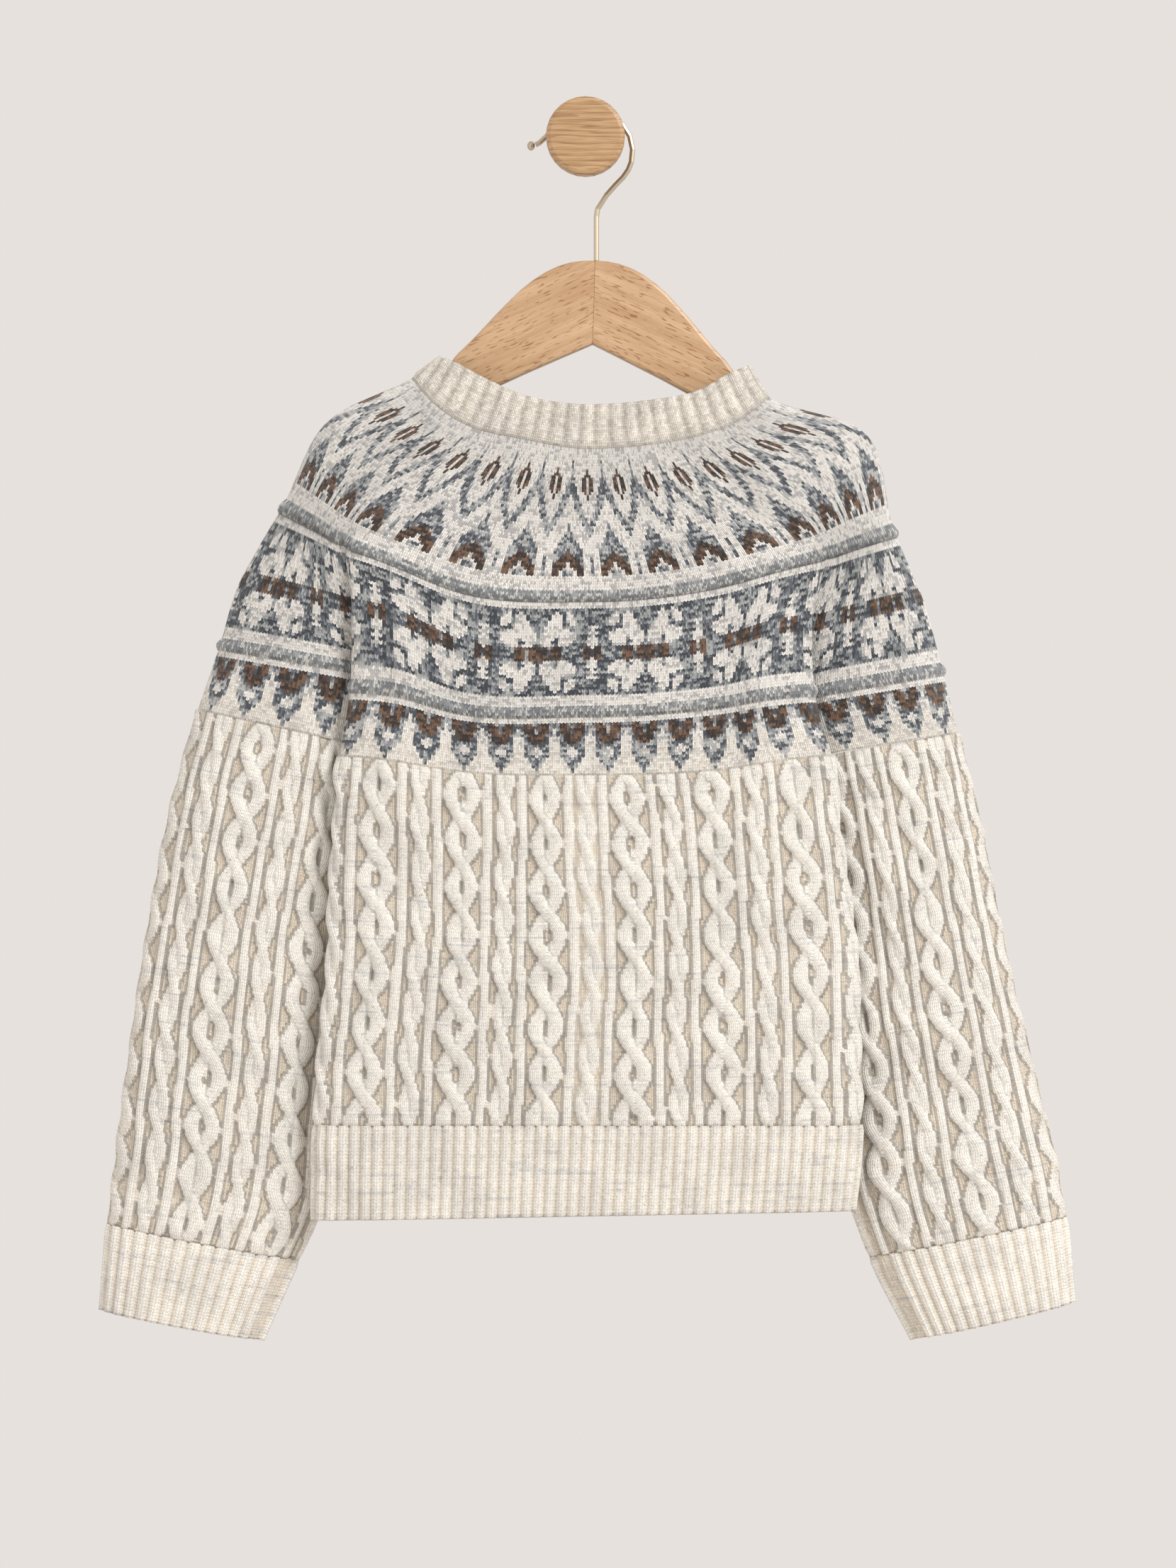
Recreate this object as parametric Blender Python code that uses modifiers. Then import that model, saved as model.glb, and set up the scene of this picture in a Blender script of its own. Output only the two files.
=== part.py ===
"""Child's round-yoke knitted sweater on a wooden hanger, hung from a wall peg.

Metres, +Z up. The origin is the centre of the peg's back face. The wall is the plane
Y = 0 and everything hangs in front of it, at Y < 0, with the sweater's back outwards.
Sizes below are in millimetres and are turned into metres where a mesh is made.
"""
import math
from collections import namedtuple

import bmesh
import bpy
import numpy as np

MM = 0.001

# Cloth and gaps
WALL = 2.8              # thickness of the knitted cloth
SEAM_GAP = 0.3          # between pieces that are knitted or sewn together
HANG_Y = -30.0          # plane of the hanger, the hook and the shoulder folds
SLEEVE_Y = -26.0        # depth of a sleeve's outer fold

# Depth of the cloth's two sides at the neck and at the hem
NECK_BACK_Y = -48.0
NECK_FRONT_Y = -12.0
BODY_BACK_Y = -54.0
BODY_FRONT_Y = -8.0
SIDE_Y = -42.0          # the body's side folds stand proud of the sleeves
TUCK_IN = 14.0          # how far each armhole crease runs in behind the body's edge
TUCK_Y = -30.0
SLEEVE_BACK_Y = -40.0
SLEEVE_FRONT_Y = -9.0

# Positions round the yoke, in star repeats from the centre of the back
REPEATS = 16
EDGE_U = 2.25           # the body's side fold
TUCK_U = 2.5            # the armhole crease
OUTER_U = 4.0           # the sleeve's outer fold

# Raised work
RIDGE_HIGH = 2.2
STRAND_HIGH = 3.0
CROSSING_HIGH = 3.6
RIB_HIGH = 2.0
ROPE_HIGH = 2.0
ROPE_LOW = 1.2
LINK_LOW = 0.5          # the ground inside an open link
RIBBING_HIGH = 1.5
NECK_RIBBING_HIGH = 1.7

# Repeats of the raised work
NECK_RIBS = 56
HEM_RIBS = 54           # on each panel
CUFF_RIBS = 30
BODY_CABLES = 6         # whole cable repeats on each panel
SLEEVE_CABLES = 5       # round each sleeve
LINK_HIGH = 28.6        # one link of the chain cable
# One repeat of the cables: a rope, a rib, the chain's two strands and a rib
CABLE_REPEAT = [(0, "rope"), (0.13, "low"), (0.21, "rib"), (0.285, "low"), (0.38, "strand"), (0.5, "link"),
                (0.62, "strand"), (0.715, "low"), (0.79, "rib"), (0.87, "low")]
STRAND_SWAY = 0.07      # how far the strands close up at a crossing, in repeats
ROPE_SWAY = 0.022
END_RELIEF = 0.4        # share of the relief that is left where two pieces join
SEAM_FADE = 0.07        # share of a sleeve's round that is plain at its inner fold
FOLD_FADE = 0.044       # and low at its outer fold

# Round the yoke: each row is one course of knitting, seen from the back. down is the
# distance below the neck seam at the centre; the rest are X, Z pairs from the left
# outer fold to the right one. drop is how much lower the front hangs at its centre,
# and crease grows from 0 to 1 as the armhole crease deepens.
Course = namedtuple("Course", "down outer_l mid_l edge_l quarter_l centre quarter_r edge_r mid_r outer_r"
                              " drop crease")
COURSES = [
    Course(-27, (-86.5, -129), (-76, -133), (-59, -142.3), (-34, -152.7), (2, -157.5),
           (38, -155), (66, -149.6), (84, -139.6), (97, -133.5), 30, 0.0),
    Course(0, (-103.7, -141), (-90, -157), (-68, -171), (-36, -178.5), (1, -184),
           (38, -181.6), (68, -176), (92, -166.5), (109.6, -152), 30, 0.0),
    Course(43, (-154, -167), (-133, -184.5), (-105, -203.5), (-54, -222), (2, -227.5),
           (57, -223), (106, -210.5), (140, -190), (167, -174), 22, 0.0),
    Course(87, (-180.2, -216.6), (-161, -227.5), (-137, -241), (-71, -266.3), (5, -271),
           (76, -263.5), (137, -247.5), (163, -238.5), (183.8, -231.4), 14, 0.15),
    Course(121, (-206, -262), (-171, -270), (-138, -279), (-73, -302.5), (4, -306),
           (78, -300.5), (134, -288), (168, -280), (201, -272), 9, 0.65),
    Course(155, (-217.6, -298.5), (-180, -305), (-139, -324), (-73.5, -337.5), (3, -339),
           (78, -334), (135.5, -326.5), (175, -320), (212.5, -313.5), 5, 1.0),
    Course(195, (-231, -338), (-190, -347), (-145.5, -366), (-74, -375), (3, -377),
           (79, -374), (145.5, -366), (187, -357.5), (222, -352), 0, 1.0),
]
SPLIT_DOWN = 195
RIDGES_DOWN = (87, 155)
RIDGE_HALF = 3.6
YOKE_ROWS = (0.3, 14, 29, 43, 58, 72, 103, 121, 138, 169, 182, 194.7)

# Down the body: the two side folds at each height
BodyRow = namedtuple("BodyRow", "z left right")
BODY_ROWS = [
    BodyRow(-366, -145.5, 145.5),
    BodyRow(-404, -148, 151),
    BodyRow(-434, -149.6, 154.7),
    BodyRow(-484, -152.3, 159.5),
    BodyRow(-530, -157.2, 162),
    BodyRow(-584, -160, 163),
    BodyRow(-636, -160.6, 158.5),
]
HEM_TOP_Z = -584
HEM_Z = -636

# Down each sleeve: its outer and inner folds, X and Z, square to the sleeve
SleeveRow = namedtuple("SleeveRow", "down outer_x outer_z inner_x inner_z")
RIGHT_SLEEVE = [
    SleeveRow(0, 222, -352, 131.5, -367),
    SleeveRow(52, 235, -405, 137, -421),
    SleeveRow(128, 250, -480.5, 146.5, -497),
    SleeveRow(205, 267, -556, 154, -575),
    SleeveRow(260, 281, -610, 159, -630),
    SleeveRow(291, 285.5, -640, 171, -664),
    SleeveRow(343, 290, -691, 196, -713.5),
]
LEFT_SLEEVE = [
    SleeveRow(0, -231, -338, -131.5, -360),
    SleeveRow(62, -247.5, -398.5, -138, -419),
    SleeveRow(142, -262, -478, -147.5, -497),
    SleeveRow(234, -275, -569.5, -154.5, -588),
    SleeveRow(285, -281.5, -620, -160, -638),
    SleeveRow(311, -284, -645, -173, -667),
    SleeveRow(362, -288, -695.5, -194, -714),
]
CUFF_HIGH = 52

# The hanger: its top and bottom edges, as distances out from the mitre, and Z
HANGER_X = 5.7
HANGER_TILT = math.radians(1.7)    # it hangs a little lower on the right
HANGER_THICK = 11.0
HANGER_BEVEL = 2.0
HangerPoint = namedtuple("HangerPoint", "out top bottom")
HANGER_POINTS = [
    HangerPoint(0.15, -71, -120.8),
    HangerPoint(22, -75, -131),
    HangerPoint(41, -87.3, -140),
    HangerPoint(55, -101.5, -147),
    HangerPoint(70, -118.5, -155),
    HangerPoint(84, -133.5, -161.5),
    HangerPoint(94, -148, -166.5),
    HangerPoint(106, -155.6, -172),
    HangerPoint(134, -166.8, -186),
    HangerPoint(143, -173, -192),
    HangerPoint(149, -181, -189),
]
HANGER_SHOWN = 94
HANGER_STATIONS = 14
# The hook's wire, X and Z, from the hanger up over the peg to its free end
WIRE_WIDE = 3.15
HOOK_STEM = [(6.5, -70.7), (6.5, -44.5), (7.2, -40), (12.4, -31.9), (18, -25.6), (22.4, -21.1),
             (25.5, -16.6), (27.3, -12), (28, -4.5), (26.3, 3.4), (21.8, 10.4), (14, 15.6)]
HOOK_OVER = [(5, 16.8), (-4, 16.7), (-12.5, 13.6), (-18.5, 8.6), (-23.5, 3), (-27.4, -0.6),
             (-29.7, -1.8)]
TIP_AT = (-32.4, -2.4)
TIP_SIZE = (2.3, 2.3, 2.8)

# The peg, turned: radius and distance from the wall
PEG_NECK = 14.6
PEG_HEAD = 23.3
PEG_LONG = 62.0
PEG_PROFILE = [(0, PEG_LONG), (20.6, PEG_LONG), (22.7, 61.1), (PEG_HEAD, 58.8), (PEG_HEAD, 49.5),
               (22, 47), (17.4, 45.6), (15, 43.6), (PEG_NECK, 40), (PEG_NECK, 0), (0, 0)]
PEG_SIDES = 28


def hermite(knots, values, at):
    """Smooth curve through rows of values at the knots, read at the places in at."""
    knots = np.asarray(knots, float)
    values = np.asarray(values, float)
    at = np.clip(np.asarray(at, float), knots[0], knots[-1])
    slopes = np.gradient(values, knots, axis=0)
    index = np.clip(np.searchsorted(knots, at, side="right") - 1, 0, len(knots) - 2)
    span = knots[index + 1] - knots[index]
    t = ((at - knots[index]) / span)[:, None]
    span = span[:, None]
    low = values[index] * (2 * t**3 - 3 * t**2 + 1) + slopes[index] * span * (t**3 - 2 * t**2 + t)
    high = values[index + 1] * (3 * t**2 - 2 * t**3) + slopes[index + 1] * span * (t**3 - t**2)
    return low + high


def by_length(points, fractions):
    """Points at the given fractions of a polyline's length."""
    steps = np.linalg.norm(np.diff(points, axis=0), axis=1)
    length = np.concatenate([[0], np.cumsum(steps)])
    return np.stack([np.interp(np.asarray(fractions) * length[-1], length, points[:, k])
                     for k in range(3)], axis=1)


def depth(down, neck, body):
    """Depth of one side of the cloth, easing from the neck's to the body's."""
    t = min(max((down + 27) / (SPLIT_DOWN + 27), 0), 1)
    return neck + (body - neck) * t * (2 - t)


def course_at(down):
    """The course of the yoke at a distance below the neck seam."""
    downs = [course.down for course in COURSES]
    flat = [np.concatenate([np.ravel(value) for value in course]) for course in COURSES]
    row = hermite(downs, flat, [down])[0]
    pairs = [tuple(row[k:k + 2]) for k in range(1, 19, 2)]
    return Course(down, *pairs, row[19], min(max(row[20], 0), 1))


def quarter_curve(course, right, front):
    """Dense X, Y, Z stations of a quarter of the ring, and their places in repeats."""
    side = 1 if right else -1
    names = ("centre", "quarter_r", "edge_r", "mid_r", "outer_r") if right else \
            ("centre", "quarter_l", "edge_l", "mid_l", "outer_l")
    centre, quarter, edge, mid, outer = [np.array(getattr(course, name)) for name in names]
    panel = depth(course.down, NECK_FRONT_Y, BODY_FRONT_Y) if front else \
        depth(course.down, NECK_BACK_Y, BODY_BACK_Y)
    # The uncreased ring, a flat oval about the hanger's plane
    places = np.array([0, 1.2, EDGE_U, 3.2, OUTER_U])
    dense = np.concatenate([np.linspace(0, 3.6, 73), OUTER_U - 0.4 * np.linspace(1, 0, 28)[1:]**2])
    beyond = (2 * centre[0] - quarter[0], quarter[1])
    through = np.array([beyond, centre, quarter, edge, mid, outer])
    flat = hermite(np.concatenate([[-1.2], places]), through, dense)
    bulge = (1 - (dense / OUTER_U)**6)**0.4
    smooth = np.column_stack([flat[:, 0], HANG_Y + (panel - HANG_Y) * bulge, flat[:, 1]])
    # The creased ring, with the cloth tucked in behind the body's edge
    xe, ze = edge
    xo, zo = outer
    xm, zm = mid

    def sleeve_z(x):
        return zm + (zo - zm) * (x - xm) / (xo - xm)

    tuck_x = xe - side * (TUCK_IN - 1)
    tuck_z = max(ze, sleeve_z(tuck_x)) + 1
    if front:
        stations = [
            (-1.2, 2 * centre[0] - quarter[0], panel, quarter[1]),
            (0, centre[0], panel, centre[1]),
            (1.2, quarter[0], panel - 1, quarter[1]),
            (2.05, xe - side * 26, panel - 9, ze - 0.5),
            (TUCK_U - 0.1, xe - side * 18, -21, ze + 0.3),
            (TUCK_U, xe - side * 16.5, -23.5, tuck_z),
            (TUCK_U + 0.1, xe - side * 15, -19, sleeve_z(xe - side * 15)),
            (2.8, xe + side * 3, -11, sleeve_z(xe + side * 3)),
            (3.3, xm, SLEEVE_FRONT_Y, zm),
            (3.75, xo - side * 12, -14, sleeve_z(xo - side * 12)),
            (OUTER_U, xo, SLEEVE_Y, zo),
        ]
    else:
        stations = [
            (-1.2, 2 * centre[0] - quarter[0], panel, quarter[1]),
            (0, centre[0], panel, centre[1]),
            (1.2, quarter[0], panel + 0.5, quarter[1]),
            (1.9, xe - side * 22, panel + 1.6, ze - 1.5),
            (2.15, xe - side * 5, panel + 5.5, ze),
            (EDGE_U + 0.02, xe, SIDE_Y, ze),
            (2.37, xe - side * 4, -36.5, ze + 0.2),
            (TUCK_U, tuck_x, TUCK_Y, tuck_z),
            (2.6, xe - side * 5, -30.5, sleeve_z(xe - side * 5)),
            (2.8, xe + side * 8, -35.5, sleeve_z(xe + side * 8)),
            (3.3, xm, SLEEVE_BACK_Y, zm),
            (3.78, xo - side * 10, -36, sleeve_z(xo - side * 10)),
            (OUTER_U, xo, SLEEVE_Y, zo),
        ]
    stations = np.array(stations)
    creased = hermite(stations[:, 0], stations[:, 1:], dense)
    points = smooth + (creased - smooth) * course.crease
    if front:
        points[:, 2] -= course.drop * (1 - (dense / OUTER_U)**2)**2
    return dense, points


def ring_at(down, places):
    """Points of the yoke's ring, below the neck seam by down, at places in repeats."""
    course = course_at(down)
    points = np.zeros((len(places), 3))
    for right in (True, False):
        for front in (False, True):
            dense, curve = quarter_curve(course, right, front)
            low = {(True, False): 0, (True, True): 4, (False, True): 8, (False, False): 12}[(right, front)]
            chosen = [k for k, u in enumerate(places) if low <= u < low + 4]
            local = np.array([places[k] for k in chosen])
            # Distance from the back's or the front's centre, in repeats
            local = {0: local, 4: 8 - local, 8: local - 8, 12: 16 - local}[low]
            for axis in range(3):
                points[chosen, axis] = np.interp(local, dense, curve[:, axis])
    return points


def quarter_columns():
    """Places of the columns of a quarter of the yoke, closer where the cloth folds."""
    return [0, 0.33, 0.67, 1.0, 1.33, 1.67, 1.93, 2.12, 2.27, 2.39, 2.5, 2.61, 2.76, 3.0, 3.27, 3.55,
            3.78, 3.91]


def yoke_columns():
    quarter = quarter_columns()
    near = quarter + [OUTER_U]
    return (quarter + [8 - u for u in near[:0:-1]] + [8 + u for u in quarter]
            + [16 - u for u in near[:0:-1]])


def normals_of(grid):
    """Outward unit normals of a tube whose rows run down and whose columns run round."""
    down = np.gradient(grid, axis=0)
    around = np.roll(grid, -1, axis=1) - np.roll(grid, 1, axis=1)
    normal = np.cross(down, around)
    return normal / np.linalg.norm(normal, axis=2)[:, :, None]


def rows_and_normals(row_at, downs):
    """Rows of a closed surface and their outward normals, the same on both sides of a seam."""
    plain = np.array([row_at(down) for down in downs])
    down = np.array([row_at(down + 1) - row_at(down - 1) for down in downs])
    normal = np.cross(down, np.roll(plain, -1, axis=1) - np.roll(plain, 1, axis=1))
    if downs[-1] > SPLIT_DOWN - 1:
        normal[-1, :, 2] = 0
    return plain, normal / np.linalg.norm(normal, axis=2)[:, :, None]


def material_for(name, color, roughness, metallic=0.0):
    material = bpy.data.materials.new(name)
    material.use_nodes = True
    shader = material.node_tree.nodes["Principled BSDF"]
    shader.inputs["Base Color"].default_value = (*color, 1.0)
    shader.inputs["Roughness"].default_value = roughness
    shader.inputs["Metallic"].default_value = metallic
    material.diffuse_color = (*color, 1.0)
    return material


def add_mesh(name, bm, material, smooth=True):
    mesh = bpy.data.meshes.new(name)
    bm.to_mesh(mesh)
    bm.free()
    if smooth:
        mesh.shade_smooth()
    mesh.materials.append(material)
    piece = bpy.data.objects.new(name, mesh)
    PARTS.objects.link(piece)
    return piece


def cloth_shell(name, plain, normal, raised, inner_rows, inner_columns, closed, material):
    """A knitted wall: raised work outside, a plain and coarser face inside."""
    outer = plain + normal * raised[:, :, None]
    inner = (plain - normal * WALL)[np.ix_(inner_rows, inner_columns)]
    bm = bmesh.new()
    out = [[bm.verts.new(point * MM) for point in row] for row in outer]
    ins = [[bm.verts.new(point * MM) for point in row] for row in inner]
    count = len(inner_columns)
    for row in range(len(out) - 1):
        width = len(out[row])
        for k in range(width if closed else width - 1):
            n = (k + 1) % width
            bm.faces.new((out[row][k], out[row + 1][k], out[row + 1][n], out[row][n]))
    for row in range(len(ins) - 1):
        for k in range(count if closed else count - 1):
            n = (k + 1) % count
            bm.faces.new((ins[row][k], ins[row][n], ins[row + 1][n], ins[row + 1][k]))
    for k in range(count if closed else count - 1):
        n = (k + 1) % count
        first = inner_columns[k]
        last = inner_columns[n] if n else plain.shape[1]
        between = [c % plain.shape[1] for c in range(first, last + 1)]
        bm.faces.new([out[0][c] for c in between] + [ins[0][n], ins[0][k]])
        bm.faces.new([out[-1][c] for c in reversed(between)] + [ins[-1][k], ins[-1][n]])
    if not closed:
        for k in range(len(inner_rows) - 1):
            between = range(inner_rows[k], inner_rows[k + 1] + 1)
            bm.faces.new([out[r][0] for r in reversed(between)] + [ins[k][0], ins[k + 1][0]])
            bm.faces.new([out[r][-1] for r in between] + [ins[k + 1][-1], ins[k][-1]])
    bmesh.ops.recalc_face_normals(bm, faces=bm.faces)
    return add_mesh(name, bm, material)


def every(step, count):
    """Indexes 0, step, 2 step and so on, always with the last one."""
    chosen = list(range(0, count, step))
    if chosen[-1] != count - 1:
        chosen.append(count - 1)
    return chosen


def cable_columns(first, last):
    """Columns of cable repeats as (place, kind), with a rope at each whole number."""
    return [(repeat + place, kind) for repeat in range(first, last) for place, kind in CABLE_REPEAT]


def cable_row(columns, row):
    """Places and heights of one row: strands cross on even rows and part on odd ones."""
    crossing = row % 2 == 0
    places = []
    heights = []
    for place, kind in columns:
        within = place - math.floor(place)
        sway = 0
        if kind == "strand" and crossing:
            sway = STRAND_SWAY if within < 0.5 else -STRAND_SWAY
        elif kind == "rope":
            sway = ROPE_SWAY if crossing else -ROPE_SWAY
        height = {"low": 0, "rib": RIB_HIGH, "strand": STRAND_HIGH,
                  "rope": ROPE_HIGH if crossing else ROPE_LOW,
                  "link": CROSSING_HIGH if crossing else LINK_LOW}[kind]
        places.append(place + sway)
        heights.append(height)
    return np.array(places), np.array(heights)


def body_section(z, front):
    """Dense outline of one panel at a height, from the left seam to the right one."""
    left, right = hermite([-row.z for row in BODY_ROWS], [row[1:] for row in BODY_ROWS], [-z])[0]
    panel = BODY_FRONT_Y if front else BODY_BACK_Y
    if front:
        near = [(15, -29), (28, -20.5), (50, -13), (75, panel - 1)]
    else:
        near = [(15, -29), (5, -36), (0, SIDE_Y), (5, panel + 5.5), (22, panel + 1.6), (70, panel + 0.5)]
    stations = [(left + tuck, y) for tuck, y in near] + [((left + right) / 2, panel)]
    stations += [(right - tuck, y) for tuck, y in reversed(near)]
    stations = np.array(stations)
    steps = np.linalg.norm(np.diff(stations, axis=0), axis=1)
    knots = np.concatenate([[0], np.cumsum(steps)])
    curve = hermite(knots, stations, np.linspace(0, knots[-1], 400))
    return np.column_stack([curve[:, 0], curve[:, 1], np.full(len(curve), z)])


def body_top(x, front):
    """Height of the cables' top edge, which hangs with the last course of the yoke."""
    course = course_at(SPLIT_DOWN)
    past = TUCK_U - 0.1 if front else EDGE_U
    points = []
    for right in (False, True):
        dense, curve = quarter_curve(course, right, front)
        used = curve[dense <= past][:, [0, 2]]
        points += list(used) if right else list(used[:0:-1])
    points = np.array(points)
    return np.interp(x, points[:, 0], points[:, 1])


def body_grid(levels, fractions):
    """The plain body tube at levels from 0 at the cables' top to 1 at the hem: the back
    panel from its left seam to its right one, then the front panel back again."""
    hem_start = (HEM_TOP_Z - BODY_ROWS[0].z) / (HEM_Z - BODY_ROWS[0].z)
    grid = []
    for level, across in zip(levels, fractions):
        row = []
        for front in (False, True):
            section = body_section(BODY_ROWS[0].z + (HEM_Z - BODY_ROWS[0].z) * level, front)
            length = np.linalg.norm(np.diff(section, axis=0), axis=1).sum()
            inset = SEAM_GAP / 2 / length
            places = inset + (1 - 2 * inset) * (1 - across if front else across)
            points = by_length(section, places)
            lift = body_top(points[:, 0], front) - BODY_ROWS[0].z
            points[:, 2] += lift * max(0, 1 - level / hem_start)
            row.append(points)
        grid.append(np.concatenate(row))
    return np.array(grid)


def add_body(knit, ribbing):
    """The two cabled panels, and the ribbed hem of each."""
    high = BODY_ROWS[0].z - HEM_Z
    hem_start = (BODY_ROWS[0].z - HEM_TOP_Z) / high
    rows = round((BODY_ROWS[0].z - HEM_TOP_Z) / (LINK_HIGH / 2)) + 1
    half = BODY_CABLES // 2
    side = [(-half - 0.5, "low"), (-half - 0.38, "low"), (-half - 0.285, "low"), (-half - 0.21, "rib"),
            (-half - 0.13, "low")]
    columns = side + cable_columns(-half, half) + [(half, "rope")]
    columns += [(-place, kind) for place, kind in side[::-1]]
    across = []
    raised = []
    for row in range(rows):
        places, heights = cable_row(columns, row)
        across.append((places + half + 0.5) / (2 * half + 1))
        raised.append(heights * (END_RELIEF if row in (0, rows - 1) else 1))
    levels = np.linspace(SEAM_GAP / high, hem_start - SEAM_GAP / high, rows)
    plain = body_grid(levels, across)
    normal = normals_of(plain)
    raised = np.array(raised)
    width = len(columns)
    for name, panel in (("body_back", slice(0, width)), ("body_front", slice(width, 2 * width))):
        cloth_shell(name, plain[:, panel], normal[:, panel], raised,
                    every(4, rows), every(5, width), False, knit)
    width = 2 * HEM_RIBS + 1
    across = np.linspace(0, 1, width)
    levels = [hem_start, (hem_start + 1) / 2, 1]
    plain = body_grid(levels, [across] * 3)
    normal = normals_of(plain)
    raised = np.tile(RIBBING_HIGH * (np.arange(width) % 2), (3, 1))
    for name, panel in (("hem_back", slice(0, width)), ("hem_front", slice(width, 2 * width))):
        cloth_shell(name, plain[:, panel], normal[:, panel], raised,
                    [0, 2], every(6, width), False, ribbing)


def sleeve_grid(table, downs, fractions, right):
    """The plain sleeve at distances down it. Each row starts at the inner fold."""
    rows = hermite([row.down for row in table], [row[1:] for row in table], downs)
    back = [(0, -18), (0.03, -22), (0.1, -27.5), (0.25, -35.5), (0.5, SLEEVE_BACK_Y), (0.75, -39.5),
            (0.92, -35), (1, SLEEVE_Y)]
    front = [(0.94, -16), (0.78, -10.5), (0.5, SLEEVE_FRONT_Y), (0.25, -9.5), (0.08, -11.8), (0.02, -14.6),
             (0, -18)]
    stations = np.array(back + front)
    if not right:
        stations = stations[::-1]
    steps = np.linalg.norm(np.diff(stations * (90, 1), axis=0), axis=1)
    knots = np.concatenate([[0], np.cumsum(steps)])
    curve = hermite(knots, stations, np.linspace(0, knots[-1], 360))
    grid = []
    for (outer_x, outer_z, inner_x, inner_z), across in zip(rows, fractions):
        x = inner_x + (outer_x - inner_x) * curve[:, 0]
        z = inner_z + (outer_z - inner_z) * curve[:, 0]
        grid.append(by_length(np.column_stack([x, curve[:, 1], z]), across))
    return np.array(grid)


def add_sleeve(side, table, right, knit, ribbing):
    """One cabled sleeve tube and its ribbed cuff."""
    cuff_down = table[-1].down - CUFF_HIGH
    rows = round(cuff_down / (LINK_HIGH / 2)) + 1
    columns = cable_columns(0, SLEEVE_CABLES)
    across = []
    raised = []
    for row in range(rows):
        places, heights = cable_row(columns, row)
        places = places / SLEEVE_CABLES
        fade = np.clip(np.minimum(places, 1 - places) / SEAM_FADE, 0, 1)
        fade = fade * (1 - (1 - END_RELIEF) * np.exp(-((places - 0.5) / FOLD_FADE)**2))
        across.append(places % 1)
        raised.append(heights * fade * (END_RELIEF if row in (0, rows - 1) else 1))
    across = [np.where(np.arange(len(row)) == 0, 0, row) for row in across]
    downs = np.linspace(2 * SEAM_GAP, cuff_down - 2 * SEAM_GAP, rows)
    plain = sleeve_grid(table, downs, across, right)
    cloth_shell("sleeve_" + side, plain, normals_of(plain), np.array(raised), every(4, rows),
                list(range(0, len(columns), 3)), True, knit)
    width = 2 * CUFF_RIBS
    downs = [cuff_down, (cuff_down + table[-1].down) / 2, table[-1].down]
    plain = sleeve_grid(table, downs, [np.arange(width) / width] * 3, right)
    raised = np.tile(RIBBING_HIGH * (np.arange(width) % 2), (3, 1))
    cloth_shell("cuff_" + side, plain, normals_of(plain), raised,
                [0, 1, 2], list(range(0, width, 3)), True, ribbing)


def add_yoke(material):
    """The colourwork yoke in one round piece, with its two raised purl ridges."""
    downs = list(YOKE_ROWS)
    for ridge in RIDGES_DOWN:
        downs += [ridge - RIDGE_HALF, ridge, ridge + RIDGE_HALF]
    downs.sort()
    places = yoke_columns()
    plain, normal = rows_and_normals(lambda down: ring_at(down, places), downs)
    raised = np.array([[RIDGE_HIGH if down in RIDGES_DOWN else 0] * len(places) for down in downs], float)
    cloth_shell("yoke", plain, normal, raised, every(2, len(downs)),
                list(range(0, len(places), 2)), True, material)


def add_neck_rib(material):
    """The 2 by 2 ribbed collar."""
    count = 2 * NECK_RIBS
    places = list(np.linspace(0, REPEATS, 480, endpoint=False))

    def even_row(down):
        ring = ring_at(down, places)
        return by_length(np.concatenate([ring, ring[:1]]), np.arange(count) / count)

    plain, normal = rows_and_normals(even_row, (COURSES[0].down, COURSES[0].down / 2, -SEAM_GAP))
    raised = np.tile(NECK_RIBBING_HIGH * (np.arange(count) % 2), (3, 1))
    cloth_shell("neck_rib", plain, normal, raised, [0, 2], list(range(0, count, 4)), True, material)


def hanger_top():
    """The arm's top edge, a smooth curve where it shows and plain inside the cloth."""
    first, second = HANGER_POINTS[:2]
    outs = [-second.out] + [point.out for point in HANGER_POINTS]
    tops = [[second.top]] + [[point.top] for point in HANGER_POINTS]
    shown = np.linspace(first.out, HANGER_SHOWN, HANGER_STATIONS)
    edge = list(zip(shown.tolist(), hermite(outs, tops, shown)[:, 0].tolist()))
    return edge + [(point.out, point.top) for point in HANGER_POINTS if point.out > HANGER_SHOWN]


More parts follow.
